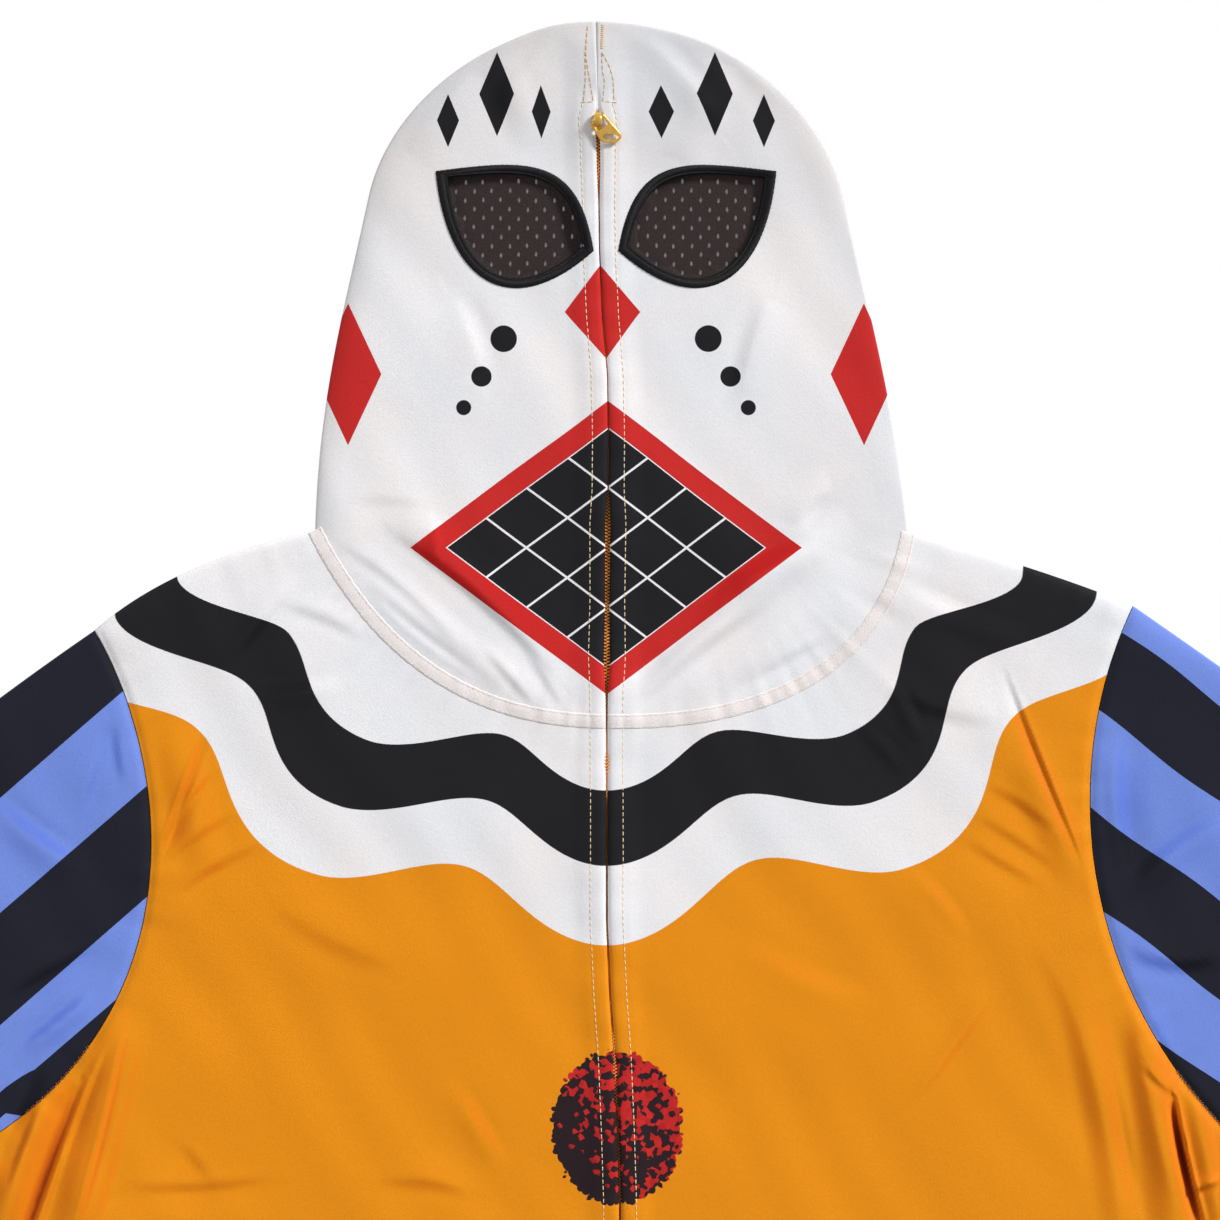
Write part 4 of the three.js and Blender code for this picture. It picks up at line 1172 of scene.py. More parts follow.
def hood_half(name, material):
    side, lines = SIDES[name], LINES[name]
    sign = side["sign"]
    neck_front = beside(lines["neck_front"], sign * SEAM_GAP)
    outline_start = lines["hood_outline"](0.0) + [0, SEAM_GAP]
    rows = spaced((1, 200))
    front_columns = spaced((0.06, 8), (1, 92))
    back_columns = spaced((1, 26))

    def neck_back(s):
        return lines["neck_back"](s) + [0, SEAM_GAP]

    crown = upright(SEAM_START_UP, HOOD_TOP_UP)
    outline = started_at(lines["hood_outline"], outline_start)

    def whole(neck, columns):
        centre = upright(neck(0.0)[1], SEAM_START_UP)
        return patch(ended_at(neck, outline_start), crown, centre, outline, columns, rows)

    face, back = whole(neck_front, front_columns), whole(neck_back, back_columns)
    edge = outline(rows)
    inward = unit(mix(face[:, -10], back[:, -4], 0.5) - edge)
    height = edge_height(edge, inward)

    def section(inset):
        reach = FOLD_REACH + inset
        over = drawn_in(face, edge[:, None], inward[:, None], reach)
        over = opened(sign, over)
        turn = fold_points(edge, inward, height, inset)
        turn[..., :2] = leaned(pushed_out(sign, turn[..., :2], SEAM_GAP / 2))
        under = drawn_in(back, edge[:, None], inward[:, None], reach)[:, ::-1]
        under = leaned(pushed_out(sign, under, SEAM_GAP / 2))
        return [over, turn, level(under, inset)]

    window = eye_leaf(sign, EYE_WINDOW)
    over, turn, floor = section(0.0)
    columns = over.shape[1] + turn.shape[1] + floor.shape[1]
    in_window = np.zeros((len(rows), columns), bool)
    in_window[:, : over.shape[1]] = inside(window, over[..., 0], over[..., 1])
    faces = grid_faces(len(rows), columns)
    hidden = in_window.ravel()[faces]
    at_rim = np.zeros(in_window.size, bool)
    at_rim[faces[hidden.any(1) & ~hidden.all(1)].ravel()] = True
    at_rim = (at_rim.reshape(in_window.shape) & in_window)[:, : over.shape[1]]
    faces = faces[~hidden.all(1)]

    layers = []
    for inset in (0.0, SHELL):
        over, turn, floor = section(inset)
        over[at_rim] = pulled_to(window, over[at_rim])
        layers.append(np.concatenate([on_cloth(over, -inset), turn, floor], 1).reshape(-1, 3))
    vertices, faces = rimmed(*layers, faces)
    front = np.zeros(in_window.shape)
    front[:, : over.shape[1] + 3] = 1
    flat_x = unleaned(vertices[:, 0], vertices[:, 1])
    from_edge = nearest(polyline(lines["hood_outline"], 60), flat_x, vertices[:, 1])[0]
    values = {
        "front": np.concatenate([front.ravel(), np.zeros(front.size)]),
        "out": np.abs(flat_x),
        # turned: painted shade that darkens the cloth near the hood's rolled edge.
        "turned": 1 - EDGE_TURN_PAINTED_SHADE * np.exp(-from_edge / TURN_REACH),
        "crease_shade": upper_painted_crease_shade(vertices),
    }
    piece = make_object(f"hood_{name}_cloth", vertices, faces, material, values)
    return finish_piece(piece, [f"hood_{name}"])


# The satin border's cross-section, from its inner edge out: how far the leaf has grown, and the height
# over the cloth. A stitched ridge runs round inside it.
BORDER_SECTION = (
    (-4.0, -0.6), (-3.7, 0.35), (-3.3, 0.6), (-2.95, 0.25), (-2.6, 0.5), (-2.0, 0.85), (-1.2, 0.95),
    (-0.4, 0.85), (0.15, 0.55), (0.5, 0.05), (0.3, -0.5), (-1.5, -0.7), (-3.4, -0.9),
)


BORDER_STEPS = 150
BORDER_RAG = 0.09


def eye_border(name, material):
    sign = SIDES[name]["sign"]
    loops = []
    for grow, rise in BORDER_SECTION:
        xy = eye_leaf(sign, grow, BORDER_STEPS)
        ragged = BORDER_RAG * max(0, abs(grow + 1.7) - 1.2)
        turn = np.arange(len(xy))
        xy = xy + ragged * np.stack([np.sin(2.4 * turn), np.cos(2.4 * turn + np.sin(0.7 * turn))], -1)
        loops.append(on_cloth(xy, rise))
    grid = np.stack(loops)
    count = grid.shape[1]
    faces = grid_faces(len(grid) + 1, count, closed=True) % (len(grid) * count)
    along = np.tile(way_along(grid[6]), len(grid))
    piece = make_object(f"eye_border_{name}", grid.reshape(-1, 3), faces, material, {"along": along})
    return finish_piece(piece)


NET_PITCH = 8.0
NET_ROW = 2.05
NET_HOLE_HALF_WIDTH = 0.55
NET_HOLE_HALF_HEIGHT = 1.25
NET_HOLE_POINTS = 10
NET_WANDER = (0.25, 0.3)


def eye_net(name, material):
    """A net with upright oval holes, each row set half a pitch beside the next."""
    sign = SIDES[name]["sign"]
    outline = eye_leaf(sign, EYE_NET, 30)
    within = eye_leaf(sign, NET_HOLES_WITHIN, 30)
    low, high = outline.min(0), outline.max(0)
    turns = np.linspace(0, 2 * math.pi, NET_HOLE_POINTS, endpoint=False)
    oval = np.stack([NET_HOLE_HALF_WIDTH * np.cos(turns), NET_HOLE_HALF_HEIGHT * np.sin(turns)], -1)
    centres = []
    for row, up in enumerate(np.arange(low[1] + 2, high[1], NET_ROW * 2)):
        for out in np.arange(low[0] + (row % 2) * NET_PITCH / 2, high[0], NET_PITCH):
            wander = math.sin(7.1 * row + 1.9 * out), math.sin(3.3 * out + 5.7 * row)
            centre = np.array([out, up]) + np.multiply(NET_WANDER, wander)
            if inside(within, *centre):
                centres.append(centre)
    points = list(outline)
    edges = [(i, (i + 1) % len(outline)) for i in range(len(outline))]
    for centre in centres:
        first = len(points)
        points += list(centre + oval)
        edges += [(first + i, first + (i + 1) % NET_HOLE_POINTS) for i in range(NET_HOLE_POINTS)]
    result = delaunay_2d_cdt([Vector(p) for p in points], edges, [], 1, 1e-5)
    flat = np.array([tuple(p) for p in result[0]])
    faces = np.array([tuple(f) for f in result[2]])
    middle = flat[faces].mean(1)
    is_hole = np.zeros(len(faces), bool)
    for centre in centres:
        d = (middle - centre) / (NET_HOLE_HALF_WIDTH, NET_HOLE_HALF_HEIGHT)
        is_hole |= (d**2).sum(1) < 0.98
    faces = faces[~is_hole & inside(outline, middle[:, 0], middle[:, 1])]
    from_rim = np.linalg.norm(flat - pulled_to(outline, flat), axis=1)
    height = mix(NET_RIM_TOP, NET_TOP, smooth(from_rim / NET_RIM_REACH))
    outer = np.concatenate([flat, height[:, None]], 1)
    vertices, faces = rimmed(outer, outer - [0, 0, NET_THICK], faces)
    piece = make_object(f"eye_net_{name}", vertices, faces, material)
    piece.data.shade_flat()
    return finish_piece(piece, [f"eye_mesh_{name}"])


BAND_SECTION = (
    # share of the width, height over the cloth
    (-0.5, 0.1), (-0.48, 0.24), (-0.42, 0.36), (-0.36, 0.3), (-0.28, 0.38), (0.0, 0.42), (0.28, 0.38),
    (0.36, 0.3), (0.43, 0.36), (0.48, 0.24), (0.5, 0.1),
)


BAND_LENGTH = 190
BAND_PUCKER = 0.022
BAND_WAVE = 0.06


def neck_band(name, material):
    side, lines = SIDES[name], LINES[name]
    along = spaced((1, 300))
    way = along * BAND_LENGTH
    pucker = 1 + BAND_PUCKER * np.sin(way / 0.95 + 2 * np.sin(way / 9))
    far = beside(lines["neck_front"], -side["sign"] * NECK_BAND_WIDTH)(along)
    rows = []
    for share, rise in BAND_SECTION:
        xy = mix(lines["neck_front"](along), far, (share * pucker)[:, None])
        xy = opened(side["sign"], xy)
        row = on_cloth(xy, rise)
        row[:, 2] += BAND_WAVE * np.sin(way / 1.9 + 2 * np.sin(way / 11)) * math.cos(math.pi * share)
        rows.append(row)
    outer = np.stack(rows)
    inner = outer.copy()
    inner[..., 2] -= np.array([max(rise - 0.1, 0.02) for _, rise in BAND_SECTION])[:, None]
    piece = sheet_object(f"neck_band_{name}_cloth", outer, inner, material)
    return finish_piece(piece, [f"neck_band_{name}"])


def along_zip(offset, low, high, step=2.0):
    """Points beside the zip's slit, from a low height to a high one."""
    up = np.arange(low, high + step, step)
    sign = math.copysign(1, offset)
    x = sign * (slit_half(up) + abs(offset))
    return leaned(np.stack([x, up], -1))


def spots_on(line, at):
    """The points that far along a line."""
    way = way_along(line)
    return np.stack([np.interp(at, way, line[:, k]) for k in (0, 1)], -1)


def resampled(line, pitch):
    """Points every pitch along a line, with the line's direction there."""
    at = np.arange(pitch / 2, way_along(line)[-1], pitch)
    return spots_on(line, at), unit(spots_on(line, at + 0.4) - spots_on(line, at - 0.4))


# One stitch: stations along it as [share of its half length, share of its half width, height].
STITCH_STATIONS = ((-1, 0.3, 0.02), (-0.6, 1, 0.16), (0.6, 1, 0.16), (1, 0.3, 0.02))


def stitches(
    name, lines, material, pitch=2.9, length=2.1, width=0.5, slot="body_cloth", height=1.0, lift=0.0
):
    """Small raised stitches along lines on the cloth, as one mesh."""
    vertices, faces = [], []
    for line in lines:
        points, ahead = resampled(np.asarray(line, float), pitch)
        aside = np.stack([-ahead[:, 1], ahead[:, 0]], -1)
        first = sum(len(v) for v in vertices)
        corners = []
        for along, half, rise in STITCH_STATIONS:
            middle = points + ahead * along * length / 2
            for across, up in ((-1, -0.12), (-0.45, 1), (0.45, 1), (1, -0.12)):
                corner = on_cloth(middle + aside * across * half * width / 2, lift)
                corner[:, 2] += rise * height if up > 0 else up
                corners.append(corner)
        block = np.stack(corners, 1)
        ring = []
        for station in range(len(STITCH_STATIONS) - 1):
            for k in range(4):
                a, b = station * 4 + k, station * 4 + (k + 1) % 4
                ring.append((a, b, b + 4, a + 4))
        last = 4 * (len(STITCH_STATIONS) - 1)
        ring += [(3, 2, 1, 0), (last, last + 1, last + 2, last + 3)]
        offsets = first + np.arange(len(points))[:, None, None] * block.shape[1]
        vertices.append(block.reshape(-1, 3))
        faces.append((np.array(ring)[None] + offsets).reshape(-1, 4))
    piece = make_object(name, np.vstack(vertices), np.vstack(faces), material)
    return finish_piece(piece)


# The sewing at the top of the zip, as points [x, up] on the cloth.
TOP_SEWING = {
    "left_outer": ((-8.3, 509), (-9.4, 495), (-9.1, 484), (-10.2, 474)),
    "left_inner": ((-8.3, 509), (-9.1, 495), (-7.6, 486), (-5.6, 474)),
    "right_inner": ((-1.9, 497), (-1.6, 488), (-0.5, 484), (-1.4, 474)),
    "right_outer": ((-1.9, 497), (1.8, 490), (3.3, 484), (3.7, 474)),
    "step": ((-11.7, 474), (-5.4, 474.4)),
    "step_right": ((-0.6, 474.4), (4.2, 474)),
}
BARTACK = ((-1.6, 509.5), (-1.9, 498))
HEM_DEPTH = 20
CUFF_DEPTH = 18
ROW_APART = 5
HEM_STITCH = dict(pitch=3.2, length=2.4, width=0.5)


def curved(points, steps=24):
    """A smooth line through a few points."""
    points = np.asarray(points, float)
    line = spots_on(points, np.linspace(0, way_along(points)[-1], steps))
    for _ in range(3):
        line[1:-1] = (line[:-2] + 2 * line[1:-1] + line[2:]) / 4
    return line


def zip_sewing():
    thread = thread_material("top_thread", (0.93, 0.76, 0.45))
    gold = thread_material("crown_thread", (0.78, 0.44, 0.12))
    lines = [
        along_zip(-TOPSTITCH_OFF, HEM_UP + 3, STITCH_TOP_UP),
        along_zip(TOPSTITCH_OFF, HEM_UP + 3, STITCH_TOP_UP),
    ]
    stitches("zip_topstitch", lines, thread, length=2.2, width=0.52, height=1.6)
    crown = [curved(points) for points in TOP_SEWING.values()]
    stitches("crown_stitch", crown, gold, length=2.5, width=0.42, height=1.6)
    stitches("zip_bartack", [curved(BARTACK)], gold, pitch=0.95, length=0.5, width=1.9, height=1.6)


def seam_sewing():
    pale = thread_material("band_thread", (0.8, 0.72, 0.69))
    band_lines = []
    for name, side in SIDES.items():
        for share in (-0.36, 0.36):
            offset = -side["sign"] * NECK_BAND_WIDTH * share
            line = beside(LINES[name]["neck_front"], offset)(spaced((1, 120)))
            band_lines.append(opened(side["sign"], line))
    size = dict(pitch=2.6, length=1.9, width=0.3, lift=0.3)
    stitches("neck_band_stitch", band_lines, pale, slot="neck_band", **size)

    orange = thread_material("hem_thread", (0.62, 0.2, 0.02))
    hems = []
    for side in SIDES.values():
        for depth in (HEM_DEPTH, HEM_DEPTH - ROW_APART):
            ends = side["sign"] * np.array([2.5, HEM_HALF - 2])
            hems.append(leaned(np.stack([np.linspace(*ends, 60), np.full(60, HEM_UP + depth + 0.7)], -1)))
    stitches("hem_stitch", hems, orange, **HEM_STITCH)

    blue = thread_material("cuff_thread", (0.1, 0.15, 0.42))
    cuffs = []
    for lines in LINES.values():
        cuff = lines["cuff"](np.array([0.02, 0.98]))
        shift = unit(lines["sleeve_top"](0.97) - lines["sleeve_top"](1.0))
        for depth in (CUFF_DEPTH, CUFF_DEPTH - ROW_APART):
            ends = cuff + shift * depth
            cuffs.append(np.linspace(ends[0], ends[1], 30))
    stitches("cuff_stitch", cuffs, blue, slot="sleeve_cloth", **HEM_STITCH)


SEAM_STRIP_HALF = 1.7
SEAM_STRIP_TOP = 2.3
SEAM_STRIP_UNDER = 1.2
SEAM_STRIP_ENDS = (0.015, 0.985)
SEAM_STRIP_STEPS = 140


def armhole_seams():
    """The seam allowance that shows in the joint between body and sleeve, coloured near black as painted
    shade in the joint.
    """
    # The near-black colour is painted shade in the seam joint.
    cloth = plain_cloth("seam_allowance_painted_shade", (0.03, 0.016, 0.014))
    along = np.linspace(*SEAM_STRIP_ENDS, SEAM_STRIP_STEPS)
    for name, side in SIDES.items():
        rows = []
        for share in np.linspace(-1, 1, 5):
            offset = side["sign"] * (SEAM_GAP / 2 + share * SEAM_STRIP_HALF)
            xy = leaned(beside(LINES[name]["armhole"], offset)(along))
            top = np.minimum(cloth_top(xy[:, 0], xy[:, 1]) - SHELL - 0.2, SEAM_STRIP_TOP)
            rows.append(np.concatenate([xy, top[:, None]], 1))
        outer = np.stack(rows)
        inner = outer.copy()
        inner[..., 2] = SEAM_STRIP_UNDER
        finish_piece(sheet_object(f"armhole_seam_{name}", outer, inner, cloth))


SERGE_UP = {"left": (51, 19), "right": (40, 12)}


def armhole_serging():
    """The orange overlock thread that shows over the armhole seam below the arm."""
    thread = thread_material("serging_thread", (0.3, 0.09, 0.01), 0.7)
    lines = []
    for name, side in SIDES.items():
        middle = beside(LINES[name]["armhole"], side["sign"] * SEAM_GAP / 2)(spaced((1, 200)))
        high, low = SERGE_UP[name]
        path, ahead = resampled(middle[(middle[:, 1] < high) & (middle[:, 1] > low)], 1.1)
        aside = np.stack([-ahead[:, 1], ahead[:, 0]], -1)
        for i, (p, a, b) in enumerate(zip(path, aside, ahead)):
            reach = 0.55 + 0.3 * math.sin(2.3 * i)
            lines.append(np.stack([p - a * reach - b * 0.3, p + a * reach + b * 0.3]))
    stitches("armhole_serging", lines, thread, pitch=1.3, length=1.3, width=0.5, height=1.8, lift=0.2)


COIL_PITCH = 1.5
COIL_SIDES = 8
COIL_RINGS = 3
CHAIN_BROWN = (0.68, 0.24, 0.035)


def ellipsoid():
    """Points and faces of a low round bead of half size 1."""
    polar = np.linspace(0, math.pi, COIL_RINGS + 2)[1:-1]
    turn = np.linspace(0, 2 * math.pi, COIL_SIDES, endpoint=False)
    along, size = np.cos(polar)[:, None], np.sin(polar)[:, None]
    ring = np.stack(np.broadcast_arrays(along, size * np.cos(turn), size * np.sin(turn)), -1).reshape(-1, 3)
    faces = grid_faces(COIL_RINGS, COIL_SIDES, closed=True)
    last = (COIL_RINGS - 1) * COIL_SIDES
    caps = [(0, 1, 2, 3), (0, 3, 4, 5), (0, 5, 6, 7)]
    caps += [(last + a, last + d, last + c, last + b) for a, b, c, d in caps]
    return ring, np.vstack([faces, caps])


def turned(xy, angle):
    """Points [x, y] turned about the origin, counter-clockwise from above."""
    x, y = xy[..., 0], xy[..., 1]
    c, s = math.cos(angle), math.sin(angle)
    return np.stack([x * c - y * s, x * s + y * c], -1)


BEAD_HALF_SIZE = (1.25, 0.48, 0.62)
BEAD_TILT = 0.22
BEAD_OUT = 0.75


def zip_coil(material):
    """The closed coil: beads that lock from the two sides in turn, over a woven strip."""
    bead, bead_faces = ellipsoid()
    ups = np.arange(HEM_UP + 4, SLIDER_UP - 4.5, COIL_PITCH / 2)
    vertices, faces = [], []
    for i, up in enumerate(ups):
        sign = 1 if i % 2 else -1
        points = bead * BEAD_HALF_SIZE
        points[:, :2] = turned(points, sign * BEAD_TILT)
        centre = (zip_lean(up) + sign * BEAD_OUT, up, CHAIN_TOP - 0.6)
        faces.append(bead_faces + len(bead) * i)
        vertices.append(points + centre)
    piece = make_object("zip_coil", np.vstack(vertices), np.vstack(faces), material)
    return finish_piece(piece, ["zip_chain"])


STRIP_STEP = 4.0
STRIP_COLUMNS = 9
STRIP_ROLL = dict(depth=0.25, reach=0.5)


def zip_strip(name, x0, x1, top, thick, up, material, slot, replaces=()):
    """A flat strip along the zip, from the hem up, its edges rolled down a little."""
    rows = np.arange(HEM_UP + 2, up, STRIP_STEP)
    x = np.linspace(x0, x1, STRIP_COLUMNS)
    grid_x = x[None] + zip_lean(rows)[:, None]
    grid_y = np.broadcast_to(rows[:, None], grid_x.shape)
    edge = np.minimum(x - x0, x1 - x)
    z = top - STRIP_ROLL["depth"] * np.exp(-edge / STRIP_ROLL["reach"])
    outer = np.stack([grid_x, grid_y, np.broadcast_to(z, grid_x.shape)], -1)
    piece = sheet_object(name, outer, outer - [0, 0, thick], material)
    return finish_piece(piece, replaces)


def outline_plate(name, loops, thick, bevel, material):
    """A flat metal plate with soft edges, from an outline and its holes, its middle at height 0."""
    curve = bpy.data.curves.new(name, "CURVE")
    curve.dimensions = "2D"
    curve.fill_mode = "BOTH"
    curve.extrude = (thick / 2 - bevel) * MM
    curve.bevel_depth = bevel * MM
    curve.bevel_resolution = 3
    curve.offset = -bevel * MM
    for loop in loops:
        spline = curve.splines.new("POLY")
        spline.points.add(len(loop) - 1)
        for point, (x, y) in zip(spline.points, loop):
            point.co = (x * MM, y * MM, 0, 1)
        spline.use_cyclic_u = True
    holder = linked(name + "_outline", curve)
    bpy.context.view_layer.update()
    mesh = bpy.data.meshes.new_from_object(holder)
    bpy.data.objects.remove(holder)
    mesh.name = name
    mesh.shade_smooth()
    mesh.set_sharp_from_angle(angle=math.radians(50))
    mesh.materials.clear()
    mesh.materials.append(material)
    return linked(name, mesh)


def rounded(corners, radius, steps=6):
    """A closed loop through corners, each rounded."""
    corners = np.asarray(corners, float)
    points = []
    for before, corner, after in zip(np.roll(corners, 1, 0), corners, np.roll(corners, -1, 0)):
        start = corner + unit(before - corner) * radius
        end = corner + unit(after - corner) * radius
        points += list(quadratic(start, corner, end)(np.linspace(0, 1, steps)))
    return points


PULL = dict(axis_height=8.2, swivel=34, tilt=5, bar_half=3.6, bar_radius=0.6, thick=1.0)
# The tab's outline and window in its own plane, the hinge bar along x and the far end down y.
PULL_OUTLINE = (
    (-3.9, 1.0), (-4.3, -7.9), (-3.5, -10.1), (1.4, -13.3), (4.3, -12.8), (5.0, -11.2), (3.5, 0.8),
)
PULL_WINDOW = ((-2.7, -0.9), (-2.7, -4.3), (2.7, -4.3), (2.7, -0.9))
PULL_SLOT = dict(centre=(0.4, -9.6), half=(3.6, 1.25))


def bar_between(start, end, radius, sides=16):
    """Points and faces of a round bar with domed ends."""
    start, end = np.array(start, float), np.array(end, float)
    axis = unit(end - start)
    side = unit(np.cross(axis, (0, 0, 1) if abs(axis[2]) < 0.9 else (1, 0, 0)))
    other = np.cross(axis, side)
    stations = [(start, 0.3), (start + axis * radius * 0.25, 0.8), (start + axis * radius * 0.6, 1.0)]
    stations += [(end - axis * radius * 0.6, 1.0), (end - axis * radius * 0.25, 0.8), (end, 0.3)]
    turn = np.linspace(0, 2 * math.pi, sides, endpoint=False)[:, None]
    circle = np.cos(turn) * side + np.sin(turn) * other
    rings = [centre + radius * size * circle for centre, size in stations]
    faces = grid_faces(len(rings), sides, closed=True)
    caps = [(0, sides - 1, sides - 2, 1)]
    caps += [(k, sides - k, sides - 1 - k, k + 1) for k in range(1, sides // 2 - 1)]
    last = (len(rings) - 1) * sides
    caps += [tuple(last + v for v in cap[::-1]) for cap in caps]
    return np.vstack(rings), np.vstack([faces, caps])


def joined_object(name, parts):
    """Several objects as one mesh object, with the first one's material."""
    bpy.context.view_layer.update()
    vertices, faces = [], []
    first = 0
    for part in parts:
        part.data.transform(part.matrix_world)
        vertices += [tuple(v.co) for v in part.data.vertices]
        faces += [tuple(first + k for k in p.vertices) for p in part.data.polygons]
        first = len(vertices)
    mesh = bpy.data.meshes.new(name)
    mesh.from_pydata(vertices, [], faces)
    mesh.shade_smooth()
    mesh.set_sharp_from_angle(angle=math.radians(50))
    mesh.materials.append(parts[0].data.materials[0])
    for part in parts:
        bpy.data.objects.remove(part)
    return linked(name, mesh)


def zip_pull(material):
    """The pull tab: a tapered plate with a hinge window and a slot, hung on its bar."""
    turn = np.linspace(0, 2 * math.pi, 32, endpoint=False)
    oval = np.stack([np.cos(turn), np.sin(turn)], -1) * PULL_SLOT["half"]
    slot = turned(oval, -math.radians(PULL["swivel"])) + PULL_SLOT["centre"]
    loops = [rounded(PULL_OUTLINE, 0.6), rounded(PULL_WINDOW, 0.7), slot]
    plate = outline_plate("pull_plate", loops, PULL["thick"], 0.22, material)
    half = PULL["bar_half"]
    bar = make_object("pull_bar", *bar_between((-half, 0, 0), (half, 0, 0), PULL["bar_radius"]), material)
    tab = joined_object("zip_pull_tab", [plate, bar])
    tab.data.transform(pull_frame())
    return finish_piece(tab, ["zip_pull"], body="pull_tab")


def pull_frame():
    """Where the pull hangs: its tilt, then its swivel, then its hinge's place."""
    from_origin = Matrix.Translation(
        Vector((zip_lean(SLIDER_UP), SLIDER_UP, PULL["axis_height"])) * MM
    )
    swivel = Matrix.Rotation(math.radians(PULL["swivel"]), 4, "Z")
    tilt = Matrix.Rotation(math.radians(PULL["tilt"]), 4, "X")
    return from_origin @ swivel @ tilt


SLIDER = dict(half=2.8, length=9, plate_under=4.3, plate_top=5.1, neck_length=3.4)
BAIL = dict(outer=2.8, inner=1.8, top=10.2, ceiling=9.3, rear_stretch=1.3)
BAIL_HALVES = (0.9, 0.95, 1.0, 1.5, 1.9, 1.6, 1.15, 0.8, 0.6)


def zip_slider(material):
    """The slider's body and the arched bail that holds the pull."""
    lean = float(zip_lean(SLIDER_UP))
    half, length = SLIDER["half"], SLIDER["length"]
    corners = [
        (-half, 0.5), (-half * 0.82, -length / 2), (half * 0.82, -length / 2), (half, 0.5),
        (half * 0.7, length / 2), (-half * 0.7, length / 2),
    ]
    plate = outline_plate("slider_plate", [rounded(corners, 1.1)], 0.9, 0.25, material)
    plate.location = Vector((lean, SLIDER_UP, (SLIDER["plate_under"] + SLIDER["plate_top"]) / 2)) * MM
    neck_up = SLIDER_UP + length / 2 - SLIDER["neck_length"] / 2
    neck_corners = [(-1.9, -1.6), (1.9, -1.6), (1.4, 1.6), (-1.4, 1.6)]
    neck = outline_plate("slider_neck", [rounded(neck_corners, 0.7)], 3.0, 0.2, material)
    neck.location = Vector((lean, neck_up, 3.2)) * MM
    middle = (BAIL["outer"] + BAIL["inner"]) / 2
    crown = (BAIL["top"] + BAIL["ceiling"]) / 2
    foot = SLIDER["plate_top"] - 0.2
    path = [(-middle, foot), (-middle, foot + 1.5)]
    path += [(-middle * 0.97, crown - 1.2), (-middle * 0.6, crown - 0.25)]
    path += [(0, crown)] + [(-y, z) for y, z in path[::-1]]
    path = np.array(path)
    path[:, 0] *= np.where(path[:, 0] > 0, BAIL["rear_stretch"], 1.0)
    thick = (BAIL["outer"] - BAIL["inner"]) / 2
    ahead = unit(np.gradient(path, axis=0))
    rings = []
    for (y, z), (dy, dz), half_width in zip(path, ahead, BAIL_HALVES):
        ring = []
        for turn in np.linspace(0, 2 * math.pi, 12, endpoint=False):
            across = half_width * np.sign(math.cos(turn)) * abs(math.cos(turn)) ** 0.6
            out = thick * 0.9 * np.sign(math.sin(turn)) * abs(math.sin(turn)) ** 0.6
            ring.append((lean + across, SLIDER_UP + y - dz * out, min(z + dy * out, BAIL["top"])))
        rings.append(ring)
    rings = np.array(rings)
    bail = make_object(
        "slider_bail", rings.reshape(-1, 3), grid_faces(len(path), 12, closed=True), material
    )
    body = joined_object("zip_slider_body", [plate, neck, bail])
    return finish_piece(body, ["zip_slider"])


VIEW_WIDTH = 0.549
CAMERA_AT = (0.0018, 0.2460, 1.803)
SENSOR = 36


def camera():
    data = bpy.data.cameras.new("camera")
    data.sensor_width = SENSOR
    data.lens = SENSOR * (CAMERA_AT[2] - 0.003) / VIEW_WIDTH
    made = linked("camera", data)
    made.location = CAMERA_AT
    bpy.context.scene.camera = made


LIGHTS = (
    # name, direction it comes from, strength, softness in degrees
    ("key", (0.8, 0.62, 0.52), 3.5, 12),
    ("fill", (-0.85, 0.25, 0.75), 0.6, 40),
)
AMBIENT = 0.34


def lights():
    for name, source, strength, softness in LIGHTS:
        data = bpy.data.lights.new(name, "SUN")
        data.energy = strength
        data.angle = math.radians(softness)
        made = linked(name, data)
        made.rotation_mode = "QUATERNION"
        made.rotation_quaternion = Vector(source).to_track_quat("Z", "Y")
    world = bpy.data.worlds.new("studio")
    world.use_nodes = True
    world.node_tree.nodes["Background"].inputs["Color"].default_value = (1, 1, 1, 1)
    world.node_tree.nodes["Background"].inputs["Strength"].default_value = AMBIENT
    bpy.context.scene.world = world
    bpy.context.scene.view_settings.view_transform = "Standard"


# In metres.
FLOOR_HALF = 4.0
FLOOR_UNDER = 0.0003


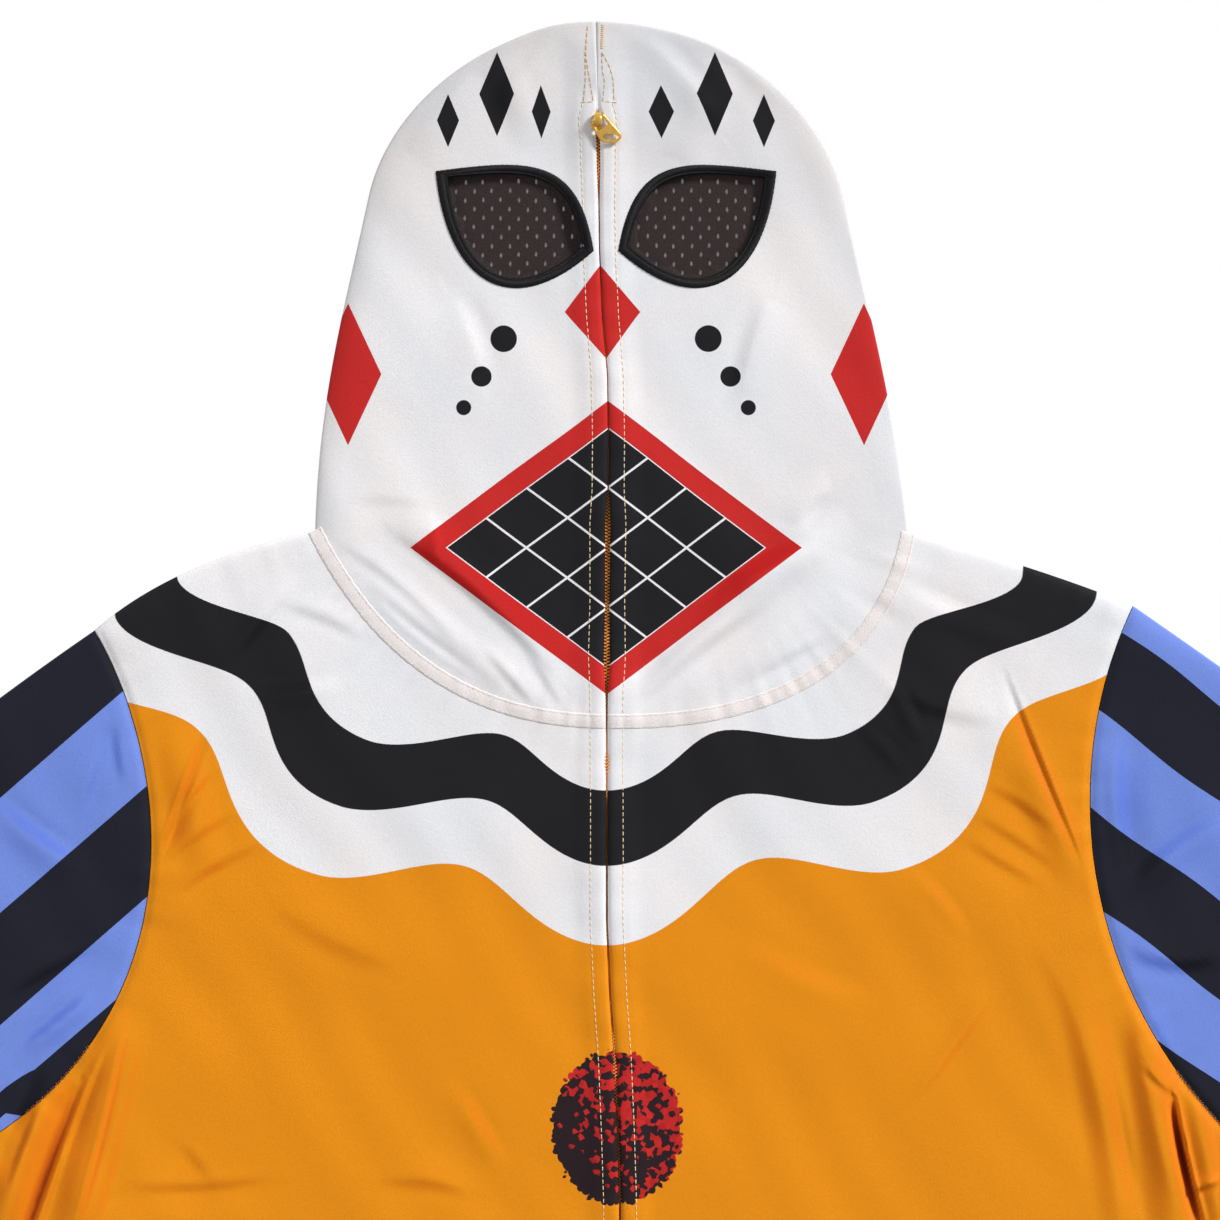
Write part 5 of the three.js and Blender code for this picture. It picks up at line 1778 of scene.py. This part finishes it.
def floor():
    """A plain white floor that gives its own light, as paper behind a cut-out does."""
    material = bpy.data.materials.new("paper_floor")
    material.use_nodes = True
    nodes = material.node_tree.nodes
    nodes.remove(nodes["Principled BSDF"])
    glow = nodes.new("ShaderNodeEmission")
    glow.inputs["Color"].default_value = (1, 1, 1, 1)
    material.node_tree.links.new(glow.outputs[0], nodes["Material Output"].inputs["Surface"])
    corners = [(x, y, -FLOOR_UNDER) for x, y in ((-1, -1), (1, -1), (1, 1), (-1, 1))]
    mesh = bpy.data.meshes.new("floor")
    mesh.from_pydata([(x * FLOOR_HALF, y * FLOOR_HALF, z) for x, y, z in corners], [], [(0, 1, 2, 3)])
    mesh.materials.append(material)
    linked("floor", mesh)


def garment():
    body = body_material()
    hood = hood_material()
    band = plain_cloth("neck_band", BAND)
    net = net_material()
    satin = satin_material()
    tape = woven_material("zip_tape", (0.1, 0.034, 0.006), 0.8)
    coil = coil_material()
    metal = metal_material()
    back = back_panel(body)
    for name, side in SIDES.items():
        arm = sleeve(name, sleeve_material(name))
        half = hood_half(name, hood)
        border = eye_border(name, satin)
        eye_net(name, net)
        ends = sorted((side["sign"] * TAPE_INNER, side["sign"] * TAPE_OUTER))
        top = EDGE_UNDER + TAPE_THICK
        cover = f"zip_tape_{name}"
        strip = zip_strip(
            f"{cover}_cloth", *ends, top, TAPE_SHELL, SLIDER_UP + 8, tape, "zip_tape", [cover]
        )
        trims = [neck_band(name, band), strip]
        front_panel(name, body)
    base = COIL_BASE["half"], COIL_BASE["top"], COIL_BASE["thick"]
    zip_strip("coil_base", -base[0], *base, SLIDER_UP - 4, tape, "zip_chain")
    zip_coil(coil)
    zip_slider(metal)
    zip_pull(metal)
    zip_sewing()
    seam_sewing()
    armhole_seams()
    armhole_serging()


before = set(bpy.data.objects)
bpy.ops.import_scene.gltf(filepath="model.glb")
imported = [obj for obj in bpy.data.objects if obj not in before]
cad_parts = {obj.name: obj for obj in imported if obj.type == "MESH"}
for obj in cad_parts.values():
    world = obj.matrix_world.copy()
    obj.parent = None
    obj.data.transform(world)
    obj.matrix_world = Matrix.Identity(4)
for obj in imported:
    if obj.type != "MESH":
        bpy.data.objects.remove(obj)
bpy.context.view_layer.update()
camera()
lights()
floor()
garment()
bpy.context.view_layer.update()
